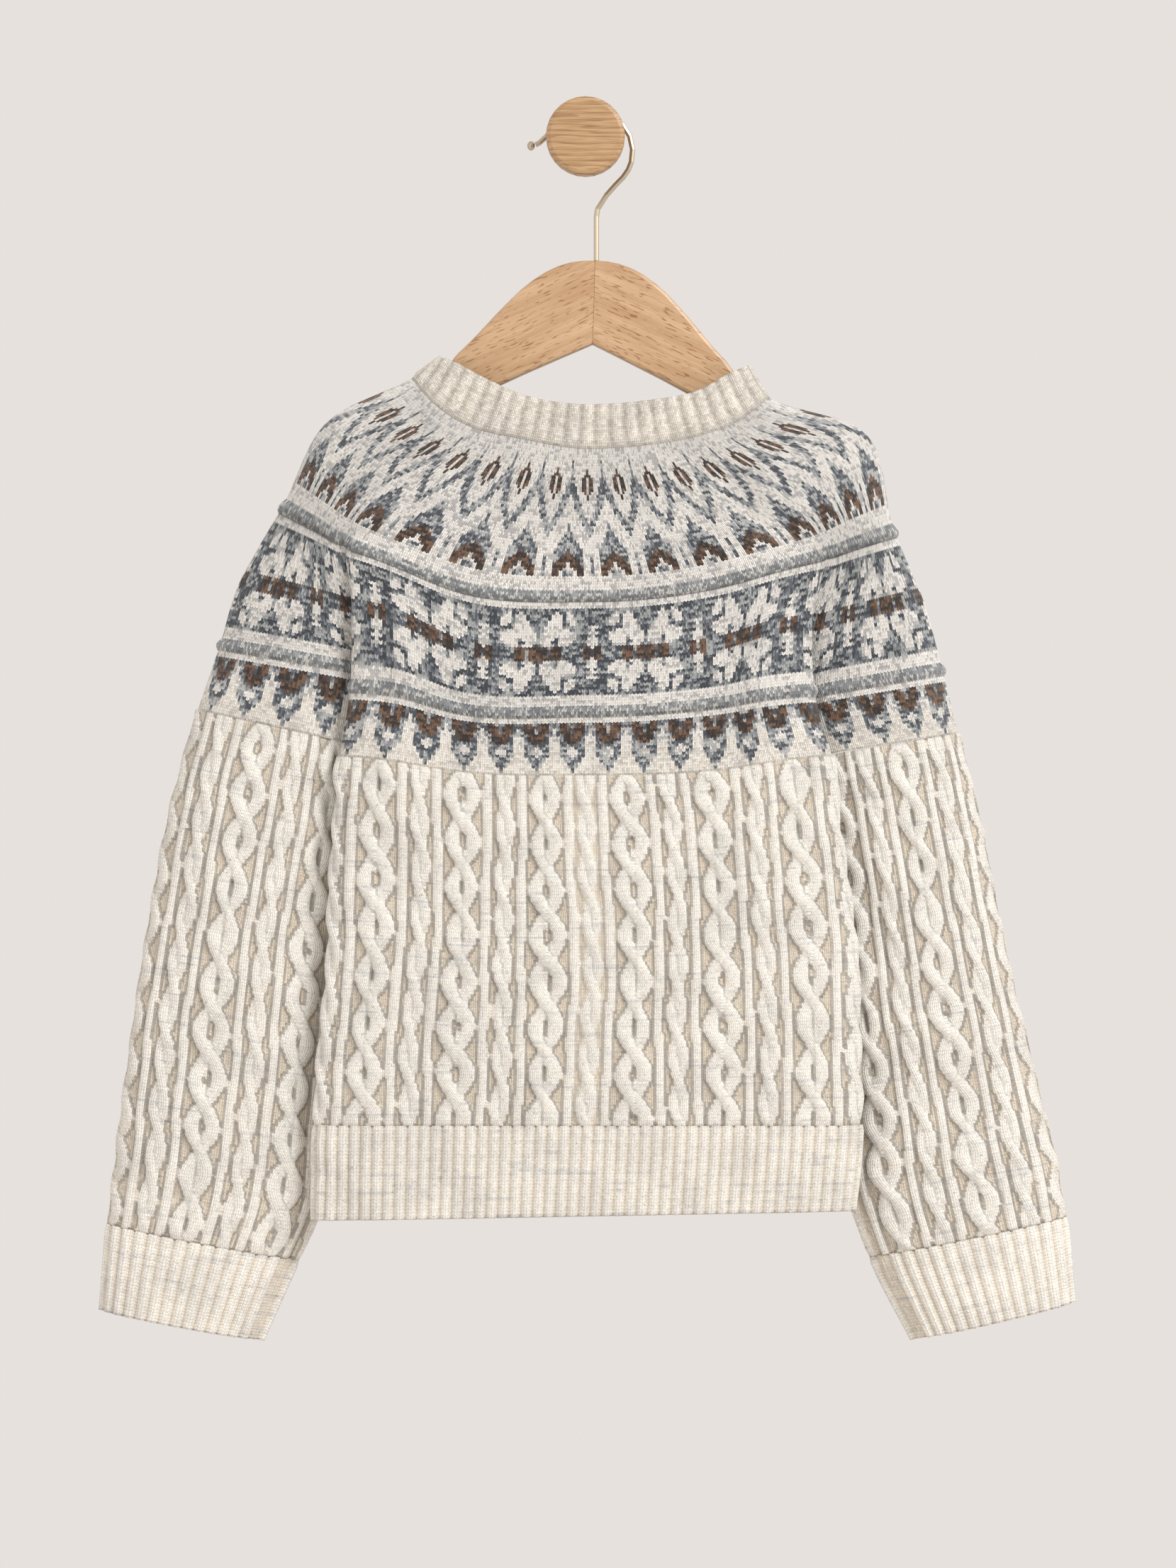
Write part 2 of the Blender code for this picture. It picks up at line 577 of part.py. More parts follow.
def add_hanger_arm(name, side, material):
    """One mitred arm, sawn from board, with its edges eased."""
    outline = hanger_top()
    outline += [(point.out, point.bottom) for point in reversed(HANGER_POINTS)]
    turn_cos = math.cos(HANGER_TILT)
    turn_sin = math.sin(HANGER_TILT)
    pivot_z = HANGER_POINTS[0].top
    bm = bmesh.new()
    near = []
    for out, z in outline:
        x = side * out
        up = z - pivot_z
        place = (HANGER_X + x * turn_cos + up * turn_sin, HANG_Y - HANGER_THICK / 2,
                 pivot_z + up * turn_cos - x * turn_sin)
        near.append(bm.verts.new([value * MM for value in place]))
    face = bm.faces.new(near)
    moved = bmesh.ops.extrude_face_region(bm, geom=[face])["geom"]
    verts = [item for item in moved if isinstance(item, bmesh.types.BMVert)]
    bmesh.ops.translate(bm, verts=verts, vec=(0, HANGER_THICK * MM, 0))
    bmesh.ops.recalc_face_normals(bm, faces=bm.faces)
    mitre = {0, len(outline) - 1}
    bm.verts.ensure_lookup_table()
    at_mitre = {bm.verts[k] for k in mitre} | {edge.other_vert(bm.verts[k]) for k in mitre
                                               for edge in bm.verts[k].link_edges
                                               if edge.other_vert(bm.verts[k]) in verts}
    rounded = [edge for edge in bm.edges
               if abs(edge.verts[0].co.y - edge.verts[1].co.y) < HANGER_BEVEL * MM
               and not (edge.verts[0] in at_mitre and edge.verts[1] in at_mitre)]
    bmesh.ops.bevel(bm, geom=rounded, offset=HANGER_BEVEL * MM, segments=2, profile=0.5,
                    affect="EDGES", clamp_overlap=True, material=-1)
    return add_mesh(name, bm, material)


def add_hook(material):
    """The bent wire hook and its small ball end."""
    wire = HOOK_STEM + HOOK_OVER
    curve = bpy.data.curves.new("hanger_hook", "CURVE")
    curve.dimensions = "3D"
    curve.bevel_depth = WIRE_WIDE / 2 * MM
    curve.bevel_resolution = 2
    curve.use_fill_caps = True
    spline = curve.splines.new("POLY")
    spline.points.add(len(wire) - 1)
    for point, (x, z) in zip(spline.points, wire):
        point.co = (x * MM, HANG_Y * MM, z * MM, 1)
    curve.materials.append(material)
    PARTS.objects.link(bpy.data.objects.new("hanger_hook", curve))
    bm = bmesh.new()
    bmesh.ops.create_uvsphere(bm, u_segments=12, v_segments=8, radius=MM)
    bmesh.ops.scale(bm, vec=TIP_SIZE, verts=bm.verts)
    bmesh.ops.translate(bm, vec=(TIP_AT[0] * MM, HANG_Y * MM, TIP_AT[1] * MM), verts=bm.verts)
    add_mesh("hook_tip", bm, material)


def add_peg(material):
    """The turned wooden peg, its head towards the viewer."""
    bm = bmesh.new()
    verts = [bm.verts.new((radius * MM, 0, along * MM)) for radius, along in PEG_PROFILE]
    for first, second in zip(verts, verts[1:]):
        bm.edges.new((first, second))
    peg = add_mesh("wall_peg", bm, material, smooth=False)
    peg.rotation_euler = (math.pi / 2, 0, 0)
    screw = peg.modifiers.new("Turn", "SCREW")
    screw.steps = PEG_SIDES
    screw.render_steps = PEG_SIDES
    screw.use_merge_vertices = True
    screw.merge_threshold = 0.0001


def main():
    add_neck_rib(material_for("ivory_rib", (0.86, 0.84, 0.78), 0.9))
    add_yoke(material_for("stranded_wool", (0.55, 0.53, 0.50), 0.9))
    knit = material_for("oatmeal_cable_knit", (0.78, 0.75, 0.69), 0.9)
    ribbing = material_for("oatmeal_ribbing", (0.76, 0.73, 0.67), 0.9)
    add_body(knit, ribbing)
    add_sleeve("left", LEFT_SLEEVE, False, knit, ribbing)
    add_sleeve("right", RIGHT_SLEEVE, True, knit, ribbing)
    beech = material_for("beech", (0.55, 0.34, 0.17), 0.45)
    add_hanger_arm("hanger_arm_left", -1, beech)
    add_hanger_arm("hanger_arm_right", 1, beech)
    add_hook(material_for("brushed_nickel", (0.62, 0.58, 0.52), 0.35, 1.0))
    add_peg(material_for("pine", (0.62, 0.42, 0.22), 0.5))


for leftover in list(bpy.data.objects):
    bpy.data.objects.remove(leftover, do_unlink=True)
PARTS = bpy.data.collections.new("knitted_sweater")
bpy.context.scene.collection.children.link(PARTS)
main()
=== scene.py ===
"""Knitted round-yoke sweater on its hanger: the looks, laid out as a Blender add-on.

Sizes in the tables are millimetres, in the frame of the CAD model, and the meshes are
made in metres. The cloth's surfaces come from the same tables as the solids.
"""
import math
from collections import namedtuple

import bmesh
import bpy
import numpy as np
from mathutils import Matrix, Vector


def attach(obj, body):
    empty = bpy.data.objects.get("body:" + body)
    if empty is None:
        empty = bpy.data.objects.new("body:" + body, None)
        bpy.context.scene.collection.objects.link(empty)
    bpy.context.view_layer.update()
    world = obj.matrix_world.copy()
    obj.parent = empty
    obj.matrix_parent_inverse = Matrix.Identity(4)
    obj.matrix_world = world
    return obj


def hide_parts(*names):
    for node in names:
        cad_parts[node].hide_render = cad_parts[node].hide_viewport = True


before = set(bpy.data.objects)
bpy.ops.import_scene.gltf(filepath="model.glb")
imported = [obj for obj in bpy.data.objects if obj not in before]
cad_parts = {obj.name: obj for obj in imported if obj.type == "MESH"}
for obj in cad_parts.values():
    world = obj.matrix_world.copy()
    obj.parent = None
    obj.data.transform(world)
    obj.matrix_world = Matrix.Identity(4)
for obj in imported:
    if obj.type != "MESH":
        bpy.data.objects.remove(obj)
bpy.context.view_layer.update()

bl_info = {
    "name": "Knitted Sweater",
    "version": (1, 0, 0),
    "blender": (4, 5, 0),
    "location": "View3D > Sidebar > Sweater",
    "description": "A round-yoke sweater in stranded colourwork and cables, on a wooden hanger",
    "category": "Object",
}

MM = 0.001

# Cloth and gaps, as in the solids
WALL = 2.8
HANG_Y = -30.0
SLEEVE_Y = -26.0
NECK_BACK_Y = -48.0
NECK_FRONT_Y = -12.0
BODY_BACK_Y = -54.0
BODY_FRONT_Y = -8.0
SIDE_Y = -42.0
TUCK_IN = 14.0
TUCK_Y = -30.0
SLEEVE_BACK_Y = -40.0
SLEEVE_FRONT_Y = -9.0
SPLIT_DOWN = 195
REPEATS = 16
EDGE_U = 2.25
TUCK_U = 2.5
OUTER_U = 4.0
LINK_HIGH = 28.6

Course = namedtuple("Course", "down outer_l mid_l edge_l quarter_l centre quarter_r edge_r mid_r outer_r"
                              " drop crease")
COURSES = [
    Course(-27, (-86.5, -129), (-76, -133), (-59, -142.3), (-34, -152.7), (2, -157.5),
           (38, -155), (66, -149.6), (84, -139.6), (97, -133.5), 30, 0.0),
    Course(0, (-103.7, -141), (-90, -157), (-68, -171), (-36, -178.5), (1, -184),
           (38, -181.6), (68, -176), (92, -166.5), (109.6, -152), 30, 0.0),
    Course(43, (-154, -167), (-133, -184.5), (-105, -203.5), (-54, -222), (2, -227.5),
           (57, -223), (106, -210.5), (140, -190), (167, -174), 22, 0.0),
    Course(87, (-180.2, -216.6), (-161, -227.5), (-137, -241), (-71, -266.3), (5, -271),
           (76, -263.5), (137, -247.5), (163, -238.5), (183.8, -231.4), 14, 0.15),
    Course(121, (-206, -262), (-171, -270), (-138, -279), (-73, -302.5), (4, -306),
           (78, -300.5), (134, -288), (168, -280), (201, -272), 9, 0.65),
    Course(155, (-217.6, -298.5), (-180, -305), (-139, -324), (-73.5, -337.5), (3, -339),
           (78, -334), (135.5, -326.5), (175, -320), (212.5, -313.5), 5, 1.0),
    Course(195, (-231, -338), (-190, -347), (-145.5, -366), (-74, -375), (3, -377),
           (79, -374), (145.5, -366), (187, -357.5), (222, -352), 0, 1.0),
]
BodyRow = namedtuple("BodyRow", "z left right")
BODY_ROWS = [
    BodyRow(-366, -145.5, 145.5),
    BodyRow(-404, -148, 151),
    BodyRow(-434, -149.6, 154.7),
    BodyRow(-484, -152.3, 159.5),
    BodyRow(-530, -157.2, 162),
    BodyRow(-584, -160, 163),
    BodyRow(-636, -160.6, 158.5),
]
HEM_TOP_Z = -584
HEM_Z = -636
SleeveRow = namedtuple("SleeveRow", "down outer_x outer_z inner_x inner_z")
RIGHT_SLEEVE = [
    SleeveRow(0, 222, -352, 131.5, -367),
    SleeveRow(52, 235, -405, 137, -421),
    SleeveRow(128, 250, -480.5, 146.5, -497),
    SleeveRow(205, 267, -556, 154, -575),
    SleeveRow(260, 281, -610, 159, -630),
    SleeveRow(291, 285.5, -640, 171, -664),
    SleeveRow(343, 290, -691, 196, -713.5),
]
LEFT_SLEEVE = [
    SleeveRow(0, -231, -338, -131.5, -360),
    SleeveRow(62, -247.5, -398.5, -138, -419),
    SleeveRow(142, -262, -478, -147.5, -497),
    SleeveRow(234, -275, -569.5, -154.5, -588),
    SleeveRow(285, -281.5, -620, -160, -638),
    SleeveRow(311, -284, -645, -173, -667),
    SleeveRow(362, -288, -695.5, -194, -714),
]
CUFF_HIGH = 52

# Ribs, cable periods and stitches round each tube, and the faces that draw one of them
COLLAR_RIBS = 56
COLLAR_RIB_FACES = 8
HEM_RIBS = 108
CUFF_RIBS = 30
RIB_FACES = 6
BODY_PERIODS = 14
SLEEVE_PERIODS = 5
PERIOD_FACES = 36       # round, for a chain cable with the rope and ribs beside it
BODY_PERIOD_WIDE = 46.0     # mm, by which the stitches across a period are counted
SLEEVE_PERIOD_WIDE = 38.0
UPPER_STITCHES = 32 * 14
LOWER_STITCHES = 16 * 30
RIDGE_HIGH = (1.6, 2.3, 1.6)
JOINT_EASE = 4          # mm over which the relief sinks to a joint
JOINT_HIGH = 1.4        # what is left of it there

# The yoke's colourwork. Each word is one round, read from a motif's axis to half way to
# the next one. w white, c cream, g grey, d dark grey, b brown.
LOZENGE_AND_PEAK = """
wwwwwwww wwwwwwww wwwwwwww wwwwwwww
wwwwwwwg wwwwwwwg wwwwwwwg bwwwwwwg bwwwwwwg bbwwwwwg wbbwwwgg wbbwwwgg wbbwwwgg
wbbwwggg wbbwwggg wbwwwggg bwwwgggw bwwwgggw wwwwggww wwwgggww wwwgggww wwwggwww
wwgggwww wwggwwww wgggwwww wggwwwww gggwwwwg ggwwwwwg ggwwwwwg gwwwwwgg gwwwwwgg
wwwwwggg wwwwwggg wwwwgggg wwwwgggg wwwggggg wwwggggb gwwgggbb gwwggbbb gwwgbbbb
gwwgbbbw gwwbbbbw gwwbbbww gwwbbwgg gwwbbwgg wwwwwwww wwwwwwww wwwwwwww wwwwwwww wwwwwwww
"""
STAR = """
dddddddddddddddd dddddwddwddddddd ddddwwwdwwdddddd ddddwwwdwwwddddd dddwwwwdwwwddddd
dddwwwwddwwddddd ddwwwwwdddddddww ddwwwwwwwddddddw dwwwwwwwwwwdddww dwwwwwwwwwwddddw
dwwwwdwwwwwdddww dwwwddwwwwddddww ddwwwdwwwdddddww bbbdbbbddddddbbw bbbdbbbddddddbbd
"""
STAR_MIDDLE = "bbbdbbbddddddbbd"
TEETH = """
ggbbgg gbbbgg gbbbgw gbbbgw bbbggw bbbgww bbbgww bbggww ggggcc wgggcc wwggcc wwggcc
wgggcc gggccc gggccc ggcccc ggcccc gccccc gccccc cccccc
"""


def hermite(knots, values, at):
    """Smooth curve through rows of values at the knots, read at the places in at."""
    knots = np.asarray(knots, float)
    values = np.asarray(values, float)
    at = np.clip(np.asarray(at, float), knots[0], knots[-1])
    slopes = np.gradient(values, knots, axis=0)
    index = np.clip(np.searchsorted(knots, at, side="right") - 1, 0, len(knots) - 2)
    span = knots[index + 1] - knots[index]
    t = ((at - knots[index]) / span)[:, None]
    span = span[:, None]
    low = values[index] * (2 * t**3 - 3 * t**2 + 1) + slopes[index] * span * (t**3 - 2 * t**2 + t)
    high = values[index + 1] * (3 * t**2 - 2 * t**3) + slopes[index + 1] * span * (t**3 - t**2)
    return low + high


def by_length(points, fractions):
    """Points at the given fractions of a polyline's length."""
    steps = np.linalg.norm(np.diff(points, axis=0), axis=1)
    length = np.concatenate([[0], np.cumsum(steps)])
    return np.stack([np.interp(np.asarray(fractions) * length[-1], length, points[:, k])
                     for k in range(3)], axis=1)


def depth(down, neck, body):
    """Depth of one side of the cloth, easing from the neck's to the body's."""
    t = min(max((down + 27) / (SPLIT_DOWN + 27), 0), 1)
    return neck + (body - neck) * t * (2 - t)


def course_at(down):
    """The course of the yoke at a distance below the neck seam."""
    downs = [course.down for course in COURSES]
    flat = [np.concatenate([np.ravel(value) for value in course]) for course in COURSES]
    row = hermite(downs, flat, [down])[0]
    pairs = [tuple(row[k:k + 2]) for k in range(1, 19, 2)]
    return Course(down, *pairs, row[19], min(max(row[20], 0), 1))


def quarter_curve(course, right, front):
    """Dense X, Y, Z stations of a quarter of the ring, and their places in repeats."""
    side = 1 if right else -1
    names = ("centre", "quarter_r", "edge_r", "mid_r", "outer_r") if right else \
            ("centre", "quarter_l", "edge_l", "mid_l", "outer_l")
    centre, quarter, edge, mid, outer = [np.array(getattr(course, name)) for name in names]
    panel = depth(course.down, NECK_FRONT_Y, BODY_FRONT_Y) if front else \
        depth(course.down, NECK_BACK_Y, BODY_BACK_Y)
    # The uncreased ring, a flat oval about the hanger's plane
    places = np.array([0, 1.2, EDGE_U, 3.2, OUTER_U])
    dense = np.concatenate([np.linspace(0, 3.6, 73), OUTER_U - 0.4 * np.linspace(1, 0, 28)[1:]**2])
    beyond = (2 * centre[0] - quarter[0], quarter[1])
    through = np.array([beyond, centre, quarter, edge, mid, outer])
    flat = hermite(np.concatenate([[-1.2], places]), through, dense)
    bulge = (1 - (dense / OUTER_U)**6)**0.4
    smooth = np.column_stack([flat[:, 0], HANG_Y + (panel - HANG_Y) * bulge, flat[:, 1]])
    # The creased ring, with the cloth tucked in behind the body's edge
    xe, ze = edge
    xo, zo = outer
    xm, zm = mid

    def sleeve_z(x):
        return zm + (zo - zm) * (x - xm) / (xo - xm)

    tuck_x = xe - side * (TUCK_IN - 1)
    tuck_z = max(ze, sleeve_z(tuck_x)) + 1
    if front:
        stations = [
            (-1.2, 2 * centre[0] - quarter[0], panel, quarter[1]),
            (0, centre[0], panel, centre[1]),
            (1.2, quarter[0], panel - 1, quarter[1]),
            (2.05, xe - side * 26, panel - 9, ze - 0.5),
            (TUCK_U - 0.1, xe - side * 18, -21, ze + 0.3),
            (TUCK_U, xe - side * 16.5, -23.5, tuck_z),
            (TUCK_U + 0.1, xe - side * 15, -19, sleeve_z(xe - side * 15)),
            (2.8, xe + side * 3, -11, sleeve_z(xe + side * 3)),
            (3.3, xm, SLEEVE_FRONT_Y, zm),
            (3.75, xo - side * 12, -14, sleeve_z(xo - side * 12)),
            (OUTER_U, xo, SLEEVE_Y, zo),
        ]
    else:
        stations = [
            (-1.2, 2 * centre[0] - quarter[0], panel, quarter[1]),
            (0, centre[0], panel, centre[1]),
            (1.2, quarter[0], panel + 0.5, quarter[1]),
            (1.9, xe - side * 22, panel + 1.6, ze - 1.5),
            (2.15, xe - side * 5, panel + 5.5, ze),
            (EDGE_U + 0.02, xe, SIDE_Y, ze),
            (2.37, xe - side * 4, -36.5, ze + 0.2),
            (TUCK_U, tuck_x, TUCK_Y, tuck_z),
            (2.6, xe - side * 5, -30.5, sleeve_z(xe - side * 5)),
            (2.8, xe + side * 8, -35.5, sleeve_z(xe + side * 8)),
            (3.3, xm, SLEEVE_BACK_Y, zm),
            (3.78, xo - side * 10, -36, sleeve_z(xo - side * 10)),
            (OUTER_U, xo, SLEEVE_Y, zo),
        ]
    stations = np.array(stations)
    creased = hermite(stations[:, 0], stations[:, 1:], dense)
    points = smooth + (creased - smooth) * course.crease
    if front:
        points[:, 2] -= course.drop * (1 - (dense / OUTER_U)**2)**2
    return dense, points


def ring_at(down, places):
    """Points of the yoke's ring, below the neck seam by down, at places in repeats."""
    course = course_at(down)
    points = np.zeros((len(places), 3))
    for right in (True, False):
        for front in (False, True):
            dense, curve = quarter_curve(course, right, front)
            low = {(True, False): 0, (True, True): 4, (False, True): 8, (False, False): 12}[(right, front)]
            chosen = [k for k, u in enumerate(places) if low <= u < low + 4]
            local = np.array([places[k] for k in chosen])
            # Distance from the back's or the front's centre, in repeats
            local = {0: local, 4: 8 - local, 8: local - 8, 12: 16 - local}[low]
            for axis in range(3):
                points[chosen, axis] = np.interp(local, dense, curve[:, axis])
    return points


def body_section(z, front):
    """Dense outline of one panel at a height, from the left seam to the right one."""
    left, right = hermite([-row.z for row in BODY_ROWS], [row[1:] for row in BODY_ROWS], [-z])[0]
    panel = BODY_FRONT_Y if front else BODY_BACK_Y
    if front:
        near = [(15, -29), (28, -20.5), (50, -13), (75, panel - 1)]
    else:
        near = [(15, -29), (5, -36), (0, SIDE_Y), (5, panel + 5.5), (22, panel + 1.6), (70, panel + 0.5)]
    stations = [(left + tuck, y) for tuck, y in near] + [((left + right) / 2, panel)]
    stations += [(right - tuck, y) for tuck, y in reversed(near)]
    stations = np.array(stations)
    steps = np.linalg.norm(np.diff(stations, axis=0), axis=1)
    knots = np.concatenate([[0], np.cumsum(steps)])
    curve = hermite(knots, stations, np.linspace(0, knots[-1], 400))
    return np.column_stack([curve[:, 0], curve[:, 1], np.full(len(curve), z)])


def body_top(x, front):
    """Height of the cables' top edge, which hangs with the last course of the yoke."""
    course = course_at(SPLIT_DOWN)
    past = TUCK_U - 0.1 if front else EDGE_U
    points = []
    for right in (False, True):
        dense, curve = quarter_curve(course, right, front)
        used = curve[dense <= past][:, [0, 2]]
        points += list(used) if right else list(used[:0:-1])
    points = np.array(points)
    return np.interp(x, points[:, 0], points[:, 1])


def sleeve_grid(table, downs, fractions, right):
    """The plain sleeve at distances down it. Each row starts at the inner fold."""
    rows = hermite([row.down for row in table], [row[1:] for row in table], downs)
    back = [(0, -18), (0.03, -22), (0.1, -27.5), (0.25, -35.5), (0.5, SLEEVE_BACK_Y), (0.75, -39.5),
            (0.92, -35), (1, SLEEVE_Y)]
    front = [(0.94, -16), (0.78, -10.5), (0.5, SLEEVE_FRONT_Y), (0.25, -9.5), (0.08, -11.8), (0.02, -14.6),
             (0, -18)]
    stations = np.array(back + front)
    if not right:
        stations = stations[::-1]
    steps = np.linalg.norm(np.diff(stations * (90, 1), axis=0), axis=1)
    knots = np.concatenate([[0], np.cumsum(steps)])
    curve = hermite(knots, stations, np.linspace(0, knots[-1], 360))
    grid = []
    for (outer_x, outer_z, inner_x, inner_z), across in zip(rows, fractions):
        x = inner_x + (outer_x - inner_x) * curve[:, 0]
        z = inner_z + (outer_z - inner_z) * curve[:, 0]
        grid.append(by_length(np.column_stack([x, curve[:, 1], z]), across))
    return np.array(grid)


def body_ring(z, count):
    """One round of the body: across the back from its left crease, then back across the front."""
    ring = []
    for front in (False, True):
        points = by_length(body_section(z, front), np.arange(count) / count)
        if front:
            points = by_length(body_section(z, front)[::-1], np.arange(count) / count)
        hang = max(0, (z - HEM_TOP_Z) / (BODY_ROWS[0].z - HEM_TOP_Z))
        points[:, 2] += (body_top(points[:, 0], front) - BODY_ROWS[0].z) * hang
        # The hem hangs a little lower on the left
        points[:, 2] += (points[:, 0] * 0.018 - 1.5) * max(0, (HEM_TOP_Z - z) / (HEM_TOP_Z - HEM_Z))
        ring.append(points)
    return np.concatenate(ring)


def even_ring(down, count):
    """A round of the collar, with its stitches evenly spaced."""
    ring = ring_at(down, list(np.linspace(0, REPEATS, 480, endpoint=False)))
    return by_length(np.concatenate([ring, ring[:1]]), np.arange(count) / count)


def outward(plain):
    """Outward unit normals of closed rounds that follow one another down the cloth."""
    normal = np.cross(np.gradient(plain, axis=0), np.roll(plain, -1, axis=1) - np.roll(plain, 1, axis=1))
    return normal / np.linalg.norm(normal, axis=2)[:, :, None]


Crease = namedtuple("Crease", "x0 z0 x1 z1 wide deep")
CREASES = [
    Crease(-150, -392, -172, -470, 8, 2.2),
    Crease(-166, -385, -205, -440, 9, 1.6),
    Crease(-196, -520, -244, -552, 11, 1.7),
    Crease(-188, -585, -232, -602, 8, 1.3),
    Crease(154, -398, 176, -486, 9, 2.1),
    Crease(172, -392, 214, -452, 8, 1.5),
    Crease(186, -548, 240, -578, 12, 1.6),
    Crease(182, -612, 226, -626, 8, 1.2),
    Crease(-132, -372, -112, -448, 10, 1.6),
    Crease(128, -376, 112, -440, 9, 1.5),
    Crease(-104, -520, -88, -618, 12, 1.3),
    Crease(96, -540, 84, -624, 11, 1.4),
    Crease(-30, -470, -18, -600, 15, 1.1),
    Crease(-74, -196, -112, -240, 9, 1.3),
    Crease(78, -198, 118, -236, 8, 1.4),
    Crease(-128, -262, -120, -330, 8, 1.5),
    Crease(126, -262, 118, -328, 8, 1.6),
    Crease(-150, -612, -138, -640, 7, 1.2),
]


def crease_depth(plain):
    """How far in the cloth lies at each point: soft troughs on the back, and on the front
    the same ones the other way round."""
    side = np.where(plain[:, :, 1] < HANG_Y, 1, -1)
    spots = np.stack([plain[:, :, 0] * side, plain[:, :, 2]], axis=2)
    depth_in = np.zeros(side.shape)
    for crease in CREASES:
        start = np.array([crease.x0, crease.z0])
        along = np.array([crease.x1, crease.z1]) - start
        t = np.clip((spots - start) @ along / (along @ along), 0, 1)
        apart = np.linalg.norm(spots - start - t[:, :, None] * along, axis=2)
        depth_in -= crease.deep * np.exp(-(apart / crease.wide)**2)
        depth_in += 0.4 * crease.deep * np.exp(-((apart - 2.2 * crease.wide) / crease.wide)**2)
    return depth_in


def mesh_of(name, bm):
    """A mesh with the shape of a bmesh, which is freed."""
    mesh = bpy.data.meshes.new(name)
    bm.to_mesh(mesh)
    bm.free()
    return mesh


def placed(name, data):
    """An object with that mesh, light or camera, in the scene."""
    made = bpy.data.objects.new(name, data)
    bpy.context.scene.collection.objects.link(made)
    return made


def knit_tube(name, plain, raised, wale, course, yarn, inside, material):
    """A tube of cloth: fine rounds outside, coarser ones inside, rims joined. yarn holds a
    colour for each face outside, wale and course count the stitches at each corner."""
    rows, columns = raised.shape
    normal = outward(plain)
    plain = plain + normal * crease_depth(plain)[:, :, None]
    outer = plain + normal * raised[:, :, None]
    kept = list(range(rows - 1, 0, -max(1, (rows - 1) // 8))) + [0]
    inner = (plain - normal * WALL)[kept]
    places = np.concatenate([outer, inner, outer[:1]])
    places = np.concatenate([places, places[:, :1]], axis=1) * MM
    down = np.concatenate([course, course[kept] + 0.5, course[:1]])
    across = np.concatenate([wale, wale[kept], wale[:1]])
    colors = np.ones((len(places) - 1, columns, 4))
    colors[:, :, :3] = inside
    colors[:rows - 1, :, :3] = yarn
    bm = bmesh.new()
    bmesh.ops.create_grid(bm, x_segments=columns, y_segments=len(places) - 1, size=1.0)
    mesh = mesh_of(name, bm)
    mesh.vertices.foreach_set("co", places.ravel())
    corner = np.zeros(len(mesh.loops), dtype=np.int32)
    mesh.loops.foreach_get("vertex_index", corner)
    stitches = np.column_stack([across.ravel(), down.ravel()])[corner]
    mesh.uv_layers.new(name="Stitches").data.foreach_set("uv", stitches.ravel())
    shades = mesh.color_attributes.new("Yarn", "FLOAT_COLOR", "CORNER")
    shades.data.foreach_set("color", np.repeat(colors.reshape(-1, 4), 4, axis=0).ravel())
    bm = bmesh.new()
    bm.from_mesh(mesh)
    bmesh.ops.remove_doubles(bm, verts=bm.verts, dist=MM * 0.001)
    bmesh.ops.recalc_face_normals(bm, faces=bm.faces)
    bm.to_mesh(mesh)
    bm.free()
    mesh.shade_smooth()
    mesh.materials.append(material)
    piece = placed(name, mesh)
    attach(piece, "root")
    piece["outside_faces"] = (rows - 1) * columns
    return piece


def linear(code):
    """A linear RGB colour from its sRGB hex code."""
    parts = [int(code[k:k + 2], 16) / 255 for k in (1, 3, 5)]
    return tuple(c / 12.92 if c <= 0.04045 else ((c + 0.055) / 1.055)**2.4 for c in parts)


def add_node(tree, kind, inputs=None, **settings):
    """One shader node, with its settings, and its inputs' values or the outputs they come from."""
    made = tree.nodes.new(kind)
    for key, value in settings.items():
        setattr(made, key, value)
    for key, value in (inputs or {}).items():
        if isinstance(value, bpy.types.NodeSocket):
            tree.links.new(value, made.inputs[key])
        else:
            made.inputs[key].default_value = value
    return made


def new_material(name, roughness):
    """A material with its tree, its Principled shader and the object's coordinates."""
    material = bpy.data.materials.new(name)
    material.use_nodes = True
    tree = material.node_tree
    shader = tree.nodes["Principled BSDF"]
    shader.inputs["Roughness"].default_value = roughness
    place = tree.nodes.new("ShaderNodeTexCoord").outputs["Object"]
    return material, tree, shader, place


def plain_material(name, roughness, color, metallic=0.0):
    """A material of one linear colour."""
    material, tree, shader, place = new_material(name, roughness)
    shader.inputs["Base Color"].default_value = (*color, 1)
    shader.inputs["Metallic"].default_value = metallic
    return material


def ramp(tree, value, stops):
    """A colour ramp through stops of a position and a colour, an sRGB hex code or linear RGB."""
    made = add_node(tree, "ShaderNodeValToRGB", {"Fac": value})
    elements = made.color_ramp.elements
    while len(elements) < len(stops):
        elements.new(0.5)
    for element, (position, code) in zip(elements, stops):
        element.position = position
        element.color = (*(linear(code) if isinstance(code, str) else code), 1)
    return made.outputs["Color"]


def math_node(tree, operation, first, second=0.0):
    return add_node(tree, "ShaderNodeMath", {0: first, 1: second}, operation=operation).outputs[0]


def wave(tree, value, rate):
    """The size, without its sign, of the sine of a value times a rate."""
    return math_node(tree, "ABSOLUTE", math_node(tree, "SINE", math_node(tree, "MULTIPLY", value, rate)))


